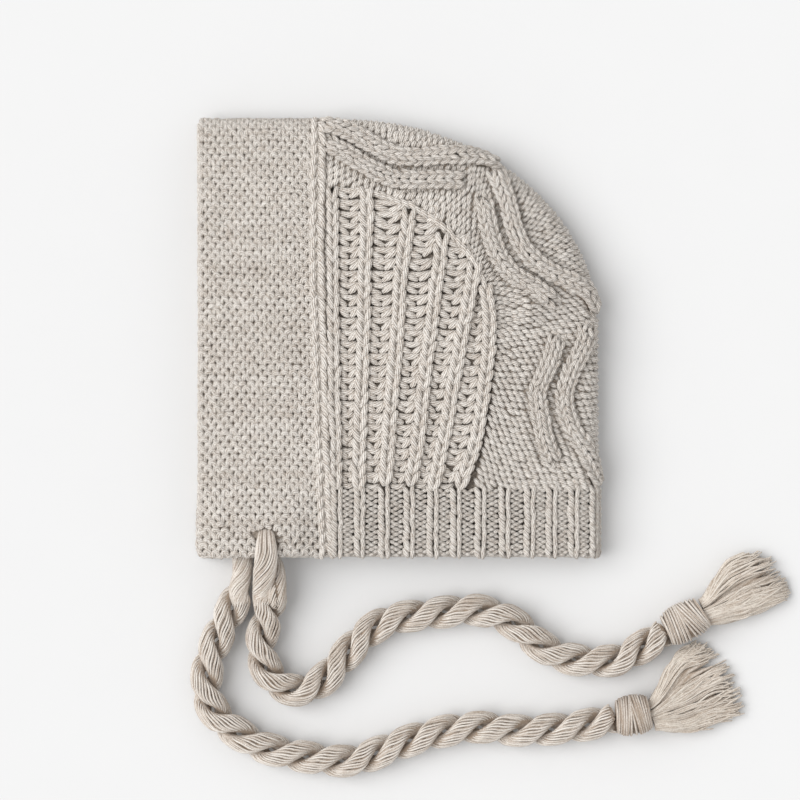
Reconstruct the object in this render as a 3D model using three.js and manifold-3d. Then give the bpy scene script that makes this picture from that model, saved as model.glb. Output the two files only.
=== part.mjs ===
// Knitted baby bonnet, folded flat in two layers, with two twisted cord ties that end in wound knots and
// tassels. Millimetres, +Z up. The bonnet lies on its far side on the plane z = 0. The face opening is the
// edge at -X and the neck opening the edge at -Y; the top edge and the back edge are folds.
import * as THREE from 'three';
import { mergeVertices } from 'three/addons/utils/BufferGeometryUtils.js';
import Module from 'manifold-3d';

const wasm = await Module();
wasm.setup();

// Outline of the folded bonnet, seen from above.
const FACE_X = -80.6;
const BACK_X = 80.6;
const NECK_Y = -88;
const TOP_Y = 88;
const ROUND_X = -21.4; // where the top fold starts to round
const ROUND_Y = 3.2; // where the round ends on the back fold

// Knitted wall and the heights of the two layers.
const WALL = 4;
const FOLD_ROUND = 7.6; // how far in from a fold the layers reach their own height
const EDGE_HEIGHT = 15.6; // height over both layers along folds and open edges
const PUFF = 7.4; // how much the middle stands above that
const GAP = 0.4; // left between neighbouring pieces

// Front band, neck rib and side fan.
const BAND_TOP_X = -29;
const BAND_FOOT_X = -26;
const RIB_Y = -60.8;
const FAN_X = -25.4; // centre of the fan's arc, at the height ROUND_Y
const FAN_WIDE = 64;
const FAN_HIGH = 57.2;
const FAN_FOOT_X = 29.8;
const FAN_BULGE = { x: 38, y: -30 };

// Eyelets and the looped ends of the ties. A tie is one bundle pulled through its eyelet and doubled.
const EYELET_Y = -78;
const EYELET_LONG = 3.5; // half size along Y
const EYELET_LOW = 15; // the near eyelet is open above this height
const EYELET_HIGH = 10; // the far eyelet is open below this height
const NEAR_LOOP = { x: -52.6, halfWidth: 4.7 };
const FAR_LOOP = { x: -62.6, halfWidth: 3.7 };
const LOOP_THICK = 3.7;
const LOOP_LIFT = 5; // the far layer rides this much over the leg of the far loop under it
const LOOP_TURN = 4.8; // radius of the turn through an eyelet
const LOOP_SPREAD = 3; // how far each leg ends from the cord's middle
const LOOP_CLEAR = 1.6; // from the end of a leg to the end of the cord
const CORNER_LIFT = 5.4; // the near layer rises over the loops at the corner
const LIFT_TOP = -52; // both lifts fade out from the eyelets up to here
const FAR_LIFT = { flat: 5, wide: 19 }; // half widths where the lift is full, and where it ends
const NEAR_LIFT = { flat: 12, wide: 30 };

// Twisted ties, knots and tassels.
const CORD_DIAMETER = 13.6;
const CORD_Z = CORD_DIAMETER / 2 + 0.1;
const CORD_SIDES = 10;
const CORD_STEPS = 78;

// Route of each tie, from where its two plies meet to its knot.
const NEAR_ROUTE = [
  [-51.6, -103.2, 11.5],
  [-51.6, -108, 9],
  [-52.8, -113.6, 7.4],
  [-55, -120.8, CORD_Z],
  [-54.6, -128, CORD_Z],
  [-51.8, -134.8, CORD_Z],
  [-46.2, -140, CORD_Z],
  [-38.6, -141.2, CORD_Z],
  [-31, -137.6, CORD_Z],
  [-23.4, -129.6, CORD_Z],
  [-15.8, -121.2, CORD_Z],
  [-7.4, -114.8, CORD_Z],
  [0.6, -112, CORD_Z],
  [8.6, -111.2, CORD_Z],
  [16.6, -110, CORD_Z],
  [24.6, -109.2, CORD_Z],
  [32.6, -109.2, CORD_Z],
  [41.4, -111.6, CORD_Z],
  [49, -116.4, CORD_Z],
  [57, -123.2, CORD_Z],
  [65, -127.6, CORD_Z],
  [73, -129.2, CORD_Z],
  [81, -129.6, CORD_Z],
  [88.6, -128.8, CORD_Z],
  [96.2, -124.8, CORD_Z],
  [106.4, -118.2, 7.4],
];
const FAR_ROUTE = [
  [-64, -101.2, 7.2],
  [-65.8, -106.2, CORD_Z],
  [-69, -112.8, CORD_Z],
  [-72.8, -120.8, CORD_Z],
  [-75.8, -128.8, CORD_Z],
  [-77, -136.8, CORD_Z],
  [-76.2, -144.8, CORD_Z],
  [-72.2, -152, CORD_Z],
  [-65, -158, CORD_Z],
  [-56.2, -163.2, CORD_Z],
  [-47.4, -166, CORD_Z],
  [-39.4, -167.6, CORD_Z],
  [-31.4, -168.8, CORD_Z],
  [-22.6, -169.6, CORD_Z],
  [-14.6, -168.8, CORD_Z],
  [-7, -165.6, CORD_Z],
  [0.6, -162.8, CORD_Z],
  [8.6, -160, CORD_Z],
  [16.6, -158, CORD_Z],
  [24.6, -156.6, CORD_Z],
  [32.6, -156, CORD_Z],
  [40.6, -156.6, CORD_Z],
  [48.6, -157.4, CORD_Z],
  [56.6, -157.2, CORD_Z],
  [64.6, -156.6, CORD_Z],
  [72.6, -155.6, CORD_Z],
  [80.6, -154, CORD_Z],
  [86, -152.5, 7.4],
];

// Knots: a barrel of wound yarn around the end of each tie. Angles are degrees from +X.
const NEAR_KNOT = { x: 114.8, y: -113.6, angle: 27, length: 17, radius: 8.2 };
const FAR_KNOT = { x: 93.9, y: -151.1, angle: 10, length: 13.8, radius: 8.4 };

// Tassels: each row gives the half widths to the left and the right of the axis, and the thickness.
const NEAR_TASSEL = {
  x: 123.6,
  y: -109.5,
  angle: 19,
  rows: [
    { along: 0, left: 5, right: 4.6, thick: 9.5 },
    { along: 3, left: 7.6, right: 5.6, thick: 10.5 },
    { along: 7, left: 12, right: 6.5, thick: 11.5 },
    { along: 14, left: 17.2, right: 7.3, thick: 11 },
    { along: 21, left: 18.6, right: 7.5, thick: 9.5 },
    { along: 27, left: 16, right: 7.2, thick: 7.5 },
    { along: 32, left: 10.6, right: 5.4, thick: 5 },
    { along: 34.6, left: 3, right: 3, thick: 2.6 },
  ],
};
const FAR_TASSEL = {
  x: 102.2,
  y: -150.6,
  angle: 23,
  rows: [
    { along: 0, left: 4.6, right: 6, thick: 9.5 },
    { along: 3, left: 6.6, right: 8.6, thick: 10.5 },
    { along: 7, left: 10.4, right: 11.4, thick: 11 },
    { along: 13, left: 16, right: 13.4, thick: 10 },
    { along: 19, left: 20, right: 14.8, thick: 8 },
    { along: 25, left: 20.4, right: 15.6, thick: 6.4 },
    { along: 30, left: 17.4, right: 15.8, thick: 5 },
    { along: 34, left: 12, right: 12.4, thick: 4 },
    { along: 36.4, left: 4, right: 4, thick: 2.4 },
  ],
};

const { degToRad, lerp, smoothstep } = THREE.MathUtils;
const yarn = (color) => new THREE.MeshStandardMaterial({ color, roughness: 0.95, metalness: 0 });

// ---- from geometry to manifold solid and back ----

function toSolid(geometry) {
  const bare = geometry.clone();
  bare.deleteAttribute('normal');
  bare.deleteAttribute('uv');
  const merged = mergeVertices(bare, 1e-4);
  const triVerts = [];
  for (let i = 0; i < merged.index.count; i += 3) {
    const [a, b, c] = [0, 1, 2].map((k) => merged.index.getX(i + k));
    if (a !== b && b !== c && c !== a) triVerts.push(a, b, c);
  }
  const vertProperties = new Float32Array(merged.attributes.position.array);
  const mesh = new wasm.Mesh({ numProp: 3, vertProperties, triVerts: new Uint32Array(triVerts) });
  return new wasm.Manifold(mesh);
}

function toMesh(solid, name, color) {
  const mesh = solid.getMesh();
  const geometry = new THREE.BufferGeometry();
  geometry.setAttribute('position', new THREE.BufferAttribute(new Float32Array(mesh.vertProperties), 3));
  geometry.setIndex(new THREE.BufferAttribute(new Uint32Array(mesh.triVerts), 1));
  return named(geometry.toNonIndexed(), name, color);
}

function named(geometry, name, color) {
  geometry.computeVertexNormals();
  const mesh = new THREE.Mesh(geometry, yarn(color));
  mesh.name = name;
  return mesh;
}

// A closed surface from rings of points that all have the same count.
// The ends are filled from a middle point.
function loft(rings) {
  const count = rings[0].length;
  const points = [];
  const quad = (a, b, c, d) => points.push(...a, ...b, ...c, ...a, ...c, ...d);
  for (let r = 0; r + 1 < rings.length; r += 1) {
    for (let i = 0; i < count; i += 1) {
      const j = (i + 1) % count;
      quad(rings[r][i], rings[r][j], rings[r + 1][j], rings[r + 1][i]);
    }
  }
  const cap = (ring, flip) => {
    const middle = [0, 1, 2].map((k) => ring.reduce((sum, p) => sum + p[k], 0) / count);
    for (let i = 0; i < count; i += 1) {
      const j = (i + 1) % count;
      points.push(...middle, ...(flip ? ring[j] : ring[i]), ...(flip ? ring[i] : ring[j]));
    }
  };
  cap(rings[0], true);
  cap(rings[rings.length - 1], false);
  const geometry = new THREE.BufferGeometry();
  geometry.setAttribute('position', new THREE.Float32BufferAttribute(points, 3));
  return geometry;
}

function prism(shape, low, high) {
  const options = { depth: high - low, bevelEnabled: false, curveSegments: 24 };
  const geometry = new THREE.ExtrudeGeometry(shape, options);
  return toSolid(geometry.translate(0, 0, low));
}

// ---- heights of the two layers ----

// Nearness to a point at the corner, from 0 to 1: full between the eyelet and the neck edge.
function corner(x, y, middle, lift) {
  const across = 1 - smoothstep(Math.abs(x - middle), lift.flat, lift.wide);
  return across * (1 - smoothstep(y, EYELET_Y, LIFT_TOP));
}

// Underside of the far layer.
function underside(x, y) {
  return LOOP_LIFT * corner(x, y, FAR_LOOP.x, FAR_LIFT);
}

// Top of the near layer: puffed in the middle, and raised over the loops at the corner.
function topside(x, y) {
  const across = Math.sin(Math.PI * THREE.MathUtils.clamp((x - FACE_X) / (BACK_X - FACE_X), 0, 1));
  const along = Math.sin(Math.PI * THREE.MathUtils.clamp((y - NECK_Y) / (TOP_Y - NECK_Y), 0, 1));
  const puff = PUFF * Math.pow(across * along, 0.75);
  const middle = (NEAR_LOOP.x + FAR_LOOP.x) / 2;
  return EDGE_HEIGHT + puff + CORNER_LIFT * corner(x, y, middle, NEAR_LIFT);
}

// ---- the knitted shell: an outer surface less an inner one, both open at the face and the neck ----

const HUB = { x: -95, y: -100 }; // rays spread from here, outside the two open edges
const RAY_STEPS = [16, 22, 28, 34, 40, 46, 54, 64, 78, 96, 116, 138];
const ROUND_STEPS = 5;

// The fold from the face edge over the top, round the back of the head and down to the neck edge.
function foldPoints() {
  const points = [];
  for (let i = 0; i < 8; i += 1) {
    points.push({ x: lerp(HUB.x, ROUND_X, i / 8), y: TOP_Y, nx: 0, ny: 1 });
  }
  for (let i = 0; i <= 16; i += 1) {
    const a = (Math.PI / 2) * (1 - i / 16);
    const rx = BACK_X - ROUND_X;
    const ry = TOP_Y - ROUND_Y;
    const normal = new THREE.Vector2(Math.cos(a) / rx, Math.sin(a) / ry).normalize();
    const x = ROUND_X + rx * Math.cos(a);
    points.push({ x, y: ROUND_Y + ry * Math.sin(a), nx: normal.x, ny: normal.y });
  }
  for (let i = 1; i <= 12; i += 1) {
    points.push({ x: BACK_X, y: lerp(ROUND_Y, HUB.y, i / 12), nx: 1, ny: 0 });
  }
  return points;
}

// One skin of the shell, set in by the given depth from the outer one.
function skin(depth) {
  const middle = EDGE_HEIGHT / 2;
  const high = (x, y) => topside(x, y) - depth;
  const low = (x, y) => underside(x, y) + depth;
  const sections = foldPoints().map((fold) => {
    const inner = { x: fold.x - fold.nx * FOLD_ROUND, y: fold.y - fold.ny * FOLD_ROUND };
    const reach = Math.hypot(inner.x - HUB.x, inner.y - HUB.y);
    const last = RAY_STEPS[RAY_STEPS.length - 1];
    const rest = [1, 2, 3, 4].map((k) => lerp(last, reach, k / 4));
    const flat = [0, ...RAY_STEPS, ...rest].map((r) => ({
      x: lerp(HUB.x, inner.x, r / reach),
      y: lerp(HUB.y, inner.y, r / reach),
      rise: 1,
    }));
    const round = [];
    for (let k = 1; k <= ROUND_STEPS; k += 1) {
      const a = (Math.PI / 2) * (1 - k / ROUND_STEPS);
      const inset = depth + (FOLD_ROUND - depth) * (1 - Math.cos(a));
      round.push({ x: fold.x - fold.nx * inset, y: fold.y - fold.ny * inset, rise: Math.sin(a) });
    }
    const line = [...flat, ...round];
    const top = line.map((p) => [p.x, p.y, lerp(middle, high(p.x, p.y), p.rise)]);
    const foot = line.map((p) => [p.x, p.y, lerp(middle, low(p.x, p.y), p.rise)]);
    return { top, foot };
  });
  const points = [];
  const quad = (a, b, c, d) => points.push(...a, ...b, ...c, ...a, ...c, ...d);
  const size = sections[0].top.length;
  for (let s = 0; s + 1 < sections.length; s += 1) {
    const [a, b] = [sections[s], sections[s + 1]];
    for (let i = 0; i + 1 < size; i += 1) {
      quad(a.top[i], b.top[i], b.top[i + 1], a.top[i + 1]);
      quad(a.foot[i], a.foot[i + 1], b.foot[i + 1], b.foot[i]);
    }
  }
  for (let i = 0; i + 1 < size; i += 1) {
    const [a, b] = [sections[0], sections[sections.length - 1]];
    quad(a.foot[i], a.top[i], a.top[i + 1], a.foot[i + 1]);
    quad(b.top[i], b.foot[i], b.foot[i + 1], b.top[i + 1]);
  }
  const geometry = new THREE.BufferGeometry();
  geometry.setAttribute('position', new THREE.Float32BufferAttribute(points, 3));
  return toSolid(geometry);
}

function outlineBox() {
  const box = new THREE.BoxGeometry(BACK_X - FACE_X + 20, TOP_Y - NECK_Y + 20, 100);
  return toSolid(box.translate(10, 10, 30));
}

function eyelet(loop, low, high) {
  const shape = new THREE.Shape();
  shape.absellipse(loop.x, EYELET_Y, loop.halfWidth + GAP, EYELET_LONG, 0, 2 * Math.PI);
  return prism(shape, low, high);
}

// ---- the pieces that the shell is knitted in ----

function bandEdge(y, side) {
  const middle = lerp(BAND_FOOT_X, BAND_TOP_X, (y - NECK_Y) / (TOP_Y - NECK_Y));
  return middle + (side * GAP) / 2;
}

const LOW = -10;
const HIGH = 60;
const FAR_OUT = 120;

function bandZone() {
  const shape = new THREE.Shape();
  shape.moveTo(-FAR_OUT, -FAR_OUT);
  shape.lineTo(bandEdge(-FAR_OUT, -1), -FAR_OUT);
  shape.lineTo(bandEdge(FAR_OUT, -1), FAR_OUT);
  shape.lineTo(-FAR_OUT, FAR_OUT);
  return prism(shape, LOW, HIGH);
}

function ribZone() {
  const shape = new THREE.Shape();
  shape.moveTo(bandEdge(-FAR_OUT, 1), -FAR_OUT);
  shape.lineTo(FAR_OUT, -FAR_OUT);
  shape.lineTo(FAR_OUT, RIB_Y - GAP / 2);
  shape.lineTo(bandEdge(RIB_Y, 1), RIB_Y - GAP / 2);
  return prism(shape, LOW, HIGH);
}

function fanZone(grow) {
  const foot = RIB_Y + GAP / 2 - grow;
  const shape = new THREE.Shape();
  shape.moveTo(bandEdge(foot, 1) - grow, foot);
  shape.lineTo(FAN_FOOT_X + grow, foot);
  shape.quadraticCurveTo(FAN_BULGE.x + grow, FAN_BULGE.y, FAN_X + FAN_WIDE + grow, ROUND_Y);
  for (let i = 1; i <= 20; i += 1) {
    const a = (Math.PI / 2) * (i / 20);
    shape.lineTo(FAN_X + (FAN_WIDE + grow) * Math.cos(a), ROUND_Y + (FAN_HIGH + grow) * Math.sin(a));
  }
  shape.lineTo(bandEdge(ROUND_Y + FAN_HIGH, 1) - grow, ROUND_Y + FAN_HIGH + grow);
  return prism(shape, LOW, HIGH);
}

function crownZone() {
  const shape = new THREE.Shape();
  shape.moveTo(bandEdge(RIB_Y, 1), RIB_Y + GAP / 2);
  shape.lineTo(FAR_OUT, RIB_Y + GAP / 2);
  shape.lineTo(FAR_OUT, FAR_OUT);
  shape.lineTo(bandEdge(FAR_OUT, 1), FAR_OUT);
  return prism(shape, LOW, HIGH).subtract(fanZone(GAP));
}

const shell = skin(0)
  .subtract(skin(WALL))
  .intersect(outlineBox())
  .subtract(eyelet(NEAR_LOOP, EYELET_LOW, HIGH))
  .subtract(eyelet(FAR_LOOP, LOW, EYELET_HIGH));

const bonnet = new THREE.Group();
bonnet.add(toMesh(shell.intersect(bandZone()), 'front_band', 0xcdc6bd));
bonnet.add(toMesh(shell.intersect(ribZone()), 'neck_rib', 0xc3bbb1));
bonnet.add(toMesh(shell.intersect(crownZone()), 'crown_panel', 0xc8c0b6));
const fans = shell.intersect(fanZone(0)).decompose();
const middleOf = (solid) => solid.boundingBox().max[2] + solid.boundingBox().min[2];
fans.sort((a, b) => middleOf(b) - middleOf(a));
bonnet.add(toMesh(fans[0], 'side_fan_near', 0xc6beb4));
bonnet.add(toMesh(fans[1], 'side_fan_far', 0xc6beb4));

// ---- ties ----

// A bundle doubled through an eyelet: one leg outside the wall, one inside, both out to the cord.
// wall(y) is the height of the middle of the wall that the bundle goes through.
function tieLoop(name, loop, wall, route, bend) {
  const turnY = EYELET_Y - LOOP_TURN;
  const turn = [1, 0.7, 0, -0.7, -1].map((k) => {
    const across = Math.sqrt(1 - k * k);
    return [turnY + LOOP_TURN * across, wall(EYELET_Y) + LOOP_TURN * k];
  });
  const start = new THREE.Vector3(...route[0]);
  const along = new THREE.Vector3(...route[1]).sub(start).normalize();
  const up = new THREE.Vector3(0, 0, 1).addScaledVector(along, -along.z).normalize();
  const foot = start.clone().addScaledVector(along, -LOOP_CLEAR);
  const end = (side) => foot.clone().addScaledVector(up, side * LOOP_SPREAD);
  const line = [
    [end(1).y, end(1).z],
    [bend.y, bend.outer],
    [NECK_Y + 1, wall(NECK_Y) + LOOP_TURN],
    ...turn,
    [NECK_Y + 1, wall(NECK_Y) - LOOP_TURN],
    [bend.y, bend.inner],
    [end(-1).y, end(-1).z],
  ];
  const points = line.map(([y, z]) => new THREE.Vector3(loop.x, y, z));
  const path = new THREE.CatmullRomCurve3(points, false, 'centripetal');
  const section = new THREE.Shape();
  section.absellipse(0, 0, loop.halfWidth, LOOP_THICK / 2, 0, 2 * Math.PI);
  const options = { steps: 44, curveSegments: 5, extrudePath: path };
  return named(new THREE.ExtrudeGeometry(section, options), name, 0xc0b8ae);
}

const nearWall = (y) => topside(NEAR_LOOP.x, y) - WALL / 2;
const farWall = (y) => underside(FAR_LOOP.x, y) + WALL / 2;
bonnet.add(tieLoop('tie_loop_near', NEAR_LOOP, nearWall, NEAR_ROUTE, { y: -94, outer: 21.4, inner: 12.6 }));
bonnet.add(tieLoop('tie_loop_far', FAR_LOOP, farWall, FAR_ROUTE, { y: -94, outer: 11, inner: 3 }));

function cord(name, route) {
  const points = route.map((p) => new THREE.Vector3(...p));
  const path = new THREE.CatmullRomCurve3(points, false, 'centripetal');
  const section = new THREE.Shape();
  for (let i = 0; i < CORD_SIDES; i += 1) {
    const a = (2 * Math.PI * (i + 0.5)) / CORD_SIDES;
    const x = (Math.cos(a) * CORD_DIAMETER) / 2;
    const y = (Math.sin(a) * CORD_DIAMETER) / 2;
    if (i === 0) section.moveTo(x, y);
    else section.lineTo(x, y);
  }
  return named(new THREE.ExtrudeGeometry(section, { steps: CORD_STEPS, extrudePath: path }), name, 0xbdb5ab);
}

bonnet.add(cord('tie_cord_near', NEAR_ROUTE));
bonnet.add(cord('tie_cord_far', FAR_ROUTE));

function knot(name, spec) {
  const half = spec.length / 2;
  const profile = [new THREE.Vector2(0, -half)];
  for (let i = 0; i <= 8; i += 1) {
    const t = -1 + i / 4;
    profile.push(new THREE.Vector2(spec.radius * (1 - 0.2 * Math.pow(Math.abs(t), 2.6)), t * half));
  }
  profile.push(new THREE.Vector2(0, half));
  const mesh = named(new THREE.LatheGeometry(profile, 20), name, 0xbfb7ad);
  mesh.rotation.set(0, 0, degToRad(spec.angle - 90));
  mesh.position.set(spec.x, spec.y, spec.radius + 0.1);
  return mesh;
}

bonnet.add(knot('knot_near', NEAR_KNOT));
bonnet.add(knot('knot_far', FAR_KNOT));

// The outer form of a brush of loose strands, flat on its underside's middle and rounded above.
function tassel(name, spec, rootZ) {
  const sides = 18;
  const rings = spec.rows.map((row) => {
    const settle = smoothstep(row.along, 0, 12);
    const z = lerp(rootZ, row.thick / 2 + 0.2, settle);
    const ring = [];
    for (let i = 0; i < sides; i += 1) {
      const a = (2 * Math.PI * i) / sides;
      const side = Math.cos(a) * (Math.cos(a) > 0 ? row.left : row.right);
      ring.push([row.along, side, z + (Math.sin(a) * row.thick) / 2]);
    }
    return ring;
  });
  const mesh = named(loft(rings), name, 0xcbc0b2);
  mesh.rotation.set(0, 0, degToRad(spec.angle));
  mesh.position.set(spec.x, spec.y, 0);
  return mesh;
}

bonnet.add(tassel('tassel_near', NEAR_TASSEL, 8));
bonnet.add(tassel('tassel_far', FAR_TASSEL, 8));

export default bonnet;
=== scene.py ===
"""A hand-knitted baby bonnet, folded flat, with two twisted ties that end in wound knots and tassels.

The stitches, the strands of the ties and the tassels are laid out as centre lines, and a Geometry Nodes tree
gives them their thickness. Plans and heights are in millimetres; the finished meshes are in metres."""

import math

import bpy
import numpy as np
from bpy.props import FloatProperty, FloatVectorProperty, IntProperty, PointerProperty
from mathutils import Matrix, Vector


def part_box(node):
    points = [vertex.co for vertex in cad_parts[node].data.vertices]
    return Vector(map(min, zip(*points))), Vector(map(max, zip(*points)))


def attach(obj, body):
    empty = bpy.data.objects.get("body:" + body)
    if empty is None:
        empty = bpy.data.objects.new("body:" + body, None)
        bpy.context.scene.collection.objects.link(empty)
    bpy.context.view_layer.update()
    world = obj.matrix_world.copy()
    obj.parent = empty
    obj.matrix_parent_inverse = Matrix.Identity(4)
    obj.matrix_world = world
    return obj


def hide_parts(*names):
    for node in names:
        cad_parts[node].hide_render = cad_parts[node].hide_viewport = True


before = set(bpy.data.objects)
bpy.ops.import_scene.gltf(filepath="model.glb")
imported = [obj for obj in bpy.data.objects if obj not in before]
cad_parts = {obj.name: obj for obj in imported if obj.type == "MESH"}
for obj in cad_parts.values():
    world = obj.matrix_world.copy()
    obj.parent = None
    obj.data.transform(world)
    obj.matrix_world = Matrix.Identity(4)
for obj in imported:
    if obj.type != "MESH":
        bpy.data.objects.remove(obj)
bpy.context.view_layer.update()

bl_info = {
    "name": "Knitted baby bonnet",
    "version": (1, 0, 0),
    "blender": (4, 5, 0),
    "location": "3D View > Sidebar > Bonnet",
    "description": "Builds a folded knitted bonnet with twisted ties and tassels",
    "category": "Object",
}

MM = 0.001


def box_mm(node):
    """Lowest and highest corner of a part of the frame, in millimetres."""
    return [np.array(corner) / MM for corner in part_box(node)]


# Outline of the folded bonnet and the heights of its two layers.
(FACE_X, NECK_Y, _), (_, TOP_Y, _) = box_mm("front_band")
(_, _, _), (BACK_X, _, _) = box_mm("crown_panel")
RIB_Y = box_mm("neck_rib")[1][1] + 0.2
ROUND_X, ROUND_Y = -21.4, 3.2  # where the top fold starts to round, and where it meets the back fold
WALL = 4.0
FOLD = 7.6  # how far in from a fold the layers reach their own height
EDGE_HEIGHT = 15.6
PUFF = 7.4
MIDDLE = EDGE_HEIGHT / 2
HALF_TURN = 12.1  # along the cloth, from the start of a fold to its outermost line
LOOP_X = {"near": -52.6, "far": -62.6}
EYELET_Y = -78.0
CORNER_Y = -52  # where the corner of the loops starts to rise
SINK = 1.15  # how far the stitches of the far layer sit in from the floor
FOLD_SINK = 1.1  # how far the stitches sit in where the cloth is folded


def ease(x, low, high):
    """From 0 to 1 between two limits, smoothly."""
    t = np.clip((np.asarray(x, float) - low) / (high - low), 0, 1)
    return t * t * (3 - 2 * t)


def lerp(a, b, t):
    return a + (b - a) * t


def at_corner(x, y, middle, flat, wide):
    """Nearness to a line at the corner of the loops, full between the eyelets and the neck edge."""
    return (1 - ease(abs(x - middle), flat, wide)) * (1 - ease(y, EYELET_Y, CORNER_Y))


def underside(x, y):
    return 5 * at_corner(x, y, LOOP_X["far"], 5, 19)


def topside(x, y):
    across = np.sin(np.pi * np.clip((x - FACE_X) / (BACK_X - FACE_X), 0, 1))
    along = np.sin(np.pi * np.clip((y - NECK_Y) / (TOP_Y - NECK_Y), 0, 1))
    middle = (LOOP_X["near"] + LOOP_X["far"]) / 2
    return EDGE_HEIGHT + PUFF * (across * along) ** 0.75 + 5.4 * at_corner(x, y, middle, 12, 30)


def band_edge(y):
    """Where the front band ends."""
    return lerp(-26.0, -29.0, (y - NECK_Y) / (TOP_Y - NECK_Y))


# ---- the cloth: from a place on the flat knitting to a place on the folded bonnet ----

_arc = np.linspace(np.pi / 2, 0, 260)
FOLD_LINE = np.stack([ROUND_X + (BACK_X - ROUND_X) * np.cos(_arc), ROUND_Y + (TOP_Y - ROUND_Y) * np.sin(_arc)], 1)
FOLD_OUT = np.stack([np.cos(_arc) / (BACK_X - ROUND_X), np.sin(_arc) / (TOP_Y - ROUND_Y)], 1)
FOLD_OUT /= np.linalg.norm(FOLD_OUT, axis=1, keepdims=True)


def past_fold(plan):
    """How far each place lies past the line where the fold starts, and which way is out."""
    past = np.full(len(plan), -1.0)
    out = np.zeros((len(plan), 2))
    top = plan[:, 0] <= ROUND_X
    back = ~top & (plan[:, 1] <= ROUND_Y)
    past[top], out[top] = plan[top, 1] - (TOP_Y - FOLD), (0, 1)
    past[back], out[back] = plan[back, 0] - (BACK_X - FOLD), (1, 0)
    rest = np.flatnonzero(~top & ~back)
    start = FOLD_LINE - FOLD_OUT * FOLD
    for some in np.array_split(rest, max(1, len(rest) // 20000)):
        if len(some):
            away = plan[some, None, :] - start[None, :, :]
            nearest = (away**2).sum(2).argmin(1)
            out[some] = FOLD_OUT[nearest]
            past[some] = (away[np.arange(len(some)), nearest] * out[some]).sum(1)
    return past, out


def cloth(plan, side):
    """Places on the outer face of the near layer (side 1) or the far layer (side -1)."""
    past, out = past_fold(plan)
    turn = np.clip(past, 0, None)
    base = plan - out * turn[:, None]
    a = turn * (np.pi / 2) / HALF_TURN
    flat = base + out * (FOLD * np.sin(a))[:, None]
    face = topside(flat[:, 0], flat[:, 1]) if side > 0 else underside(flat[:, 0], flat[:, 1])
    rise = np.cos(a)
    crossed = rise < 0
    other = EDGE_HEIGHT if side < 0 else 0.0
    face = np.where(crossed, other, face)
    return np.column_stack([flat, MIDDLE + (face - MIDDLE) * abs(rise)])


def turned_in(height, side):
    """The height over the inner face, as a height over the outer one."""
    return -WALL - height + (SINK if side < 0 else 0)


def on_cloth(plan, height, side):
    """Places at a height over one layer's outer face. plan is (..., 2)."""
    shape = plan.shape[:-1]
    flat = plan.reshape(-1, 2)
    step = 0.25
    place = cloth(flat, side)
    east = cloth(flat + (step, 0), side) - cloth(flat - (step, 0), side)
    north = cloth(flat + (0, step), side) - cloth(flat - (0, step), side)
    out = np.cross(east, north) * side
    out /= np.linalg.norm(out, axis=1, keepdims=True)
    turned = ease(past_fold(flat)[0], 0, HALF_TURN)[:, None]
    lift = np.broadcast_to(height, shape).reshape(-1, 1) - FOLD_SINK * turned
    if side < 0:
        lift = lift - SINK * (1 - turned)
    return (place + out * lift).reshape(*shape, 3)


# ---- strands: centre lines of yarn, before they are given thickness ----


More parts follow.
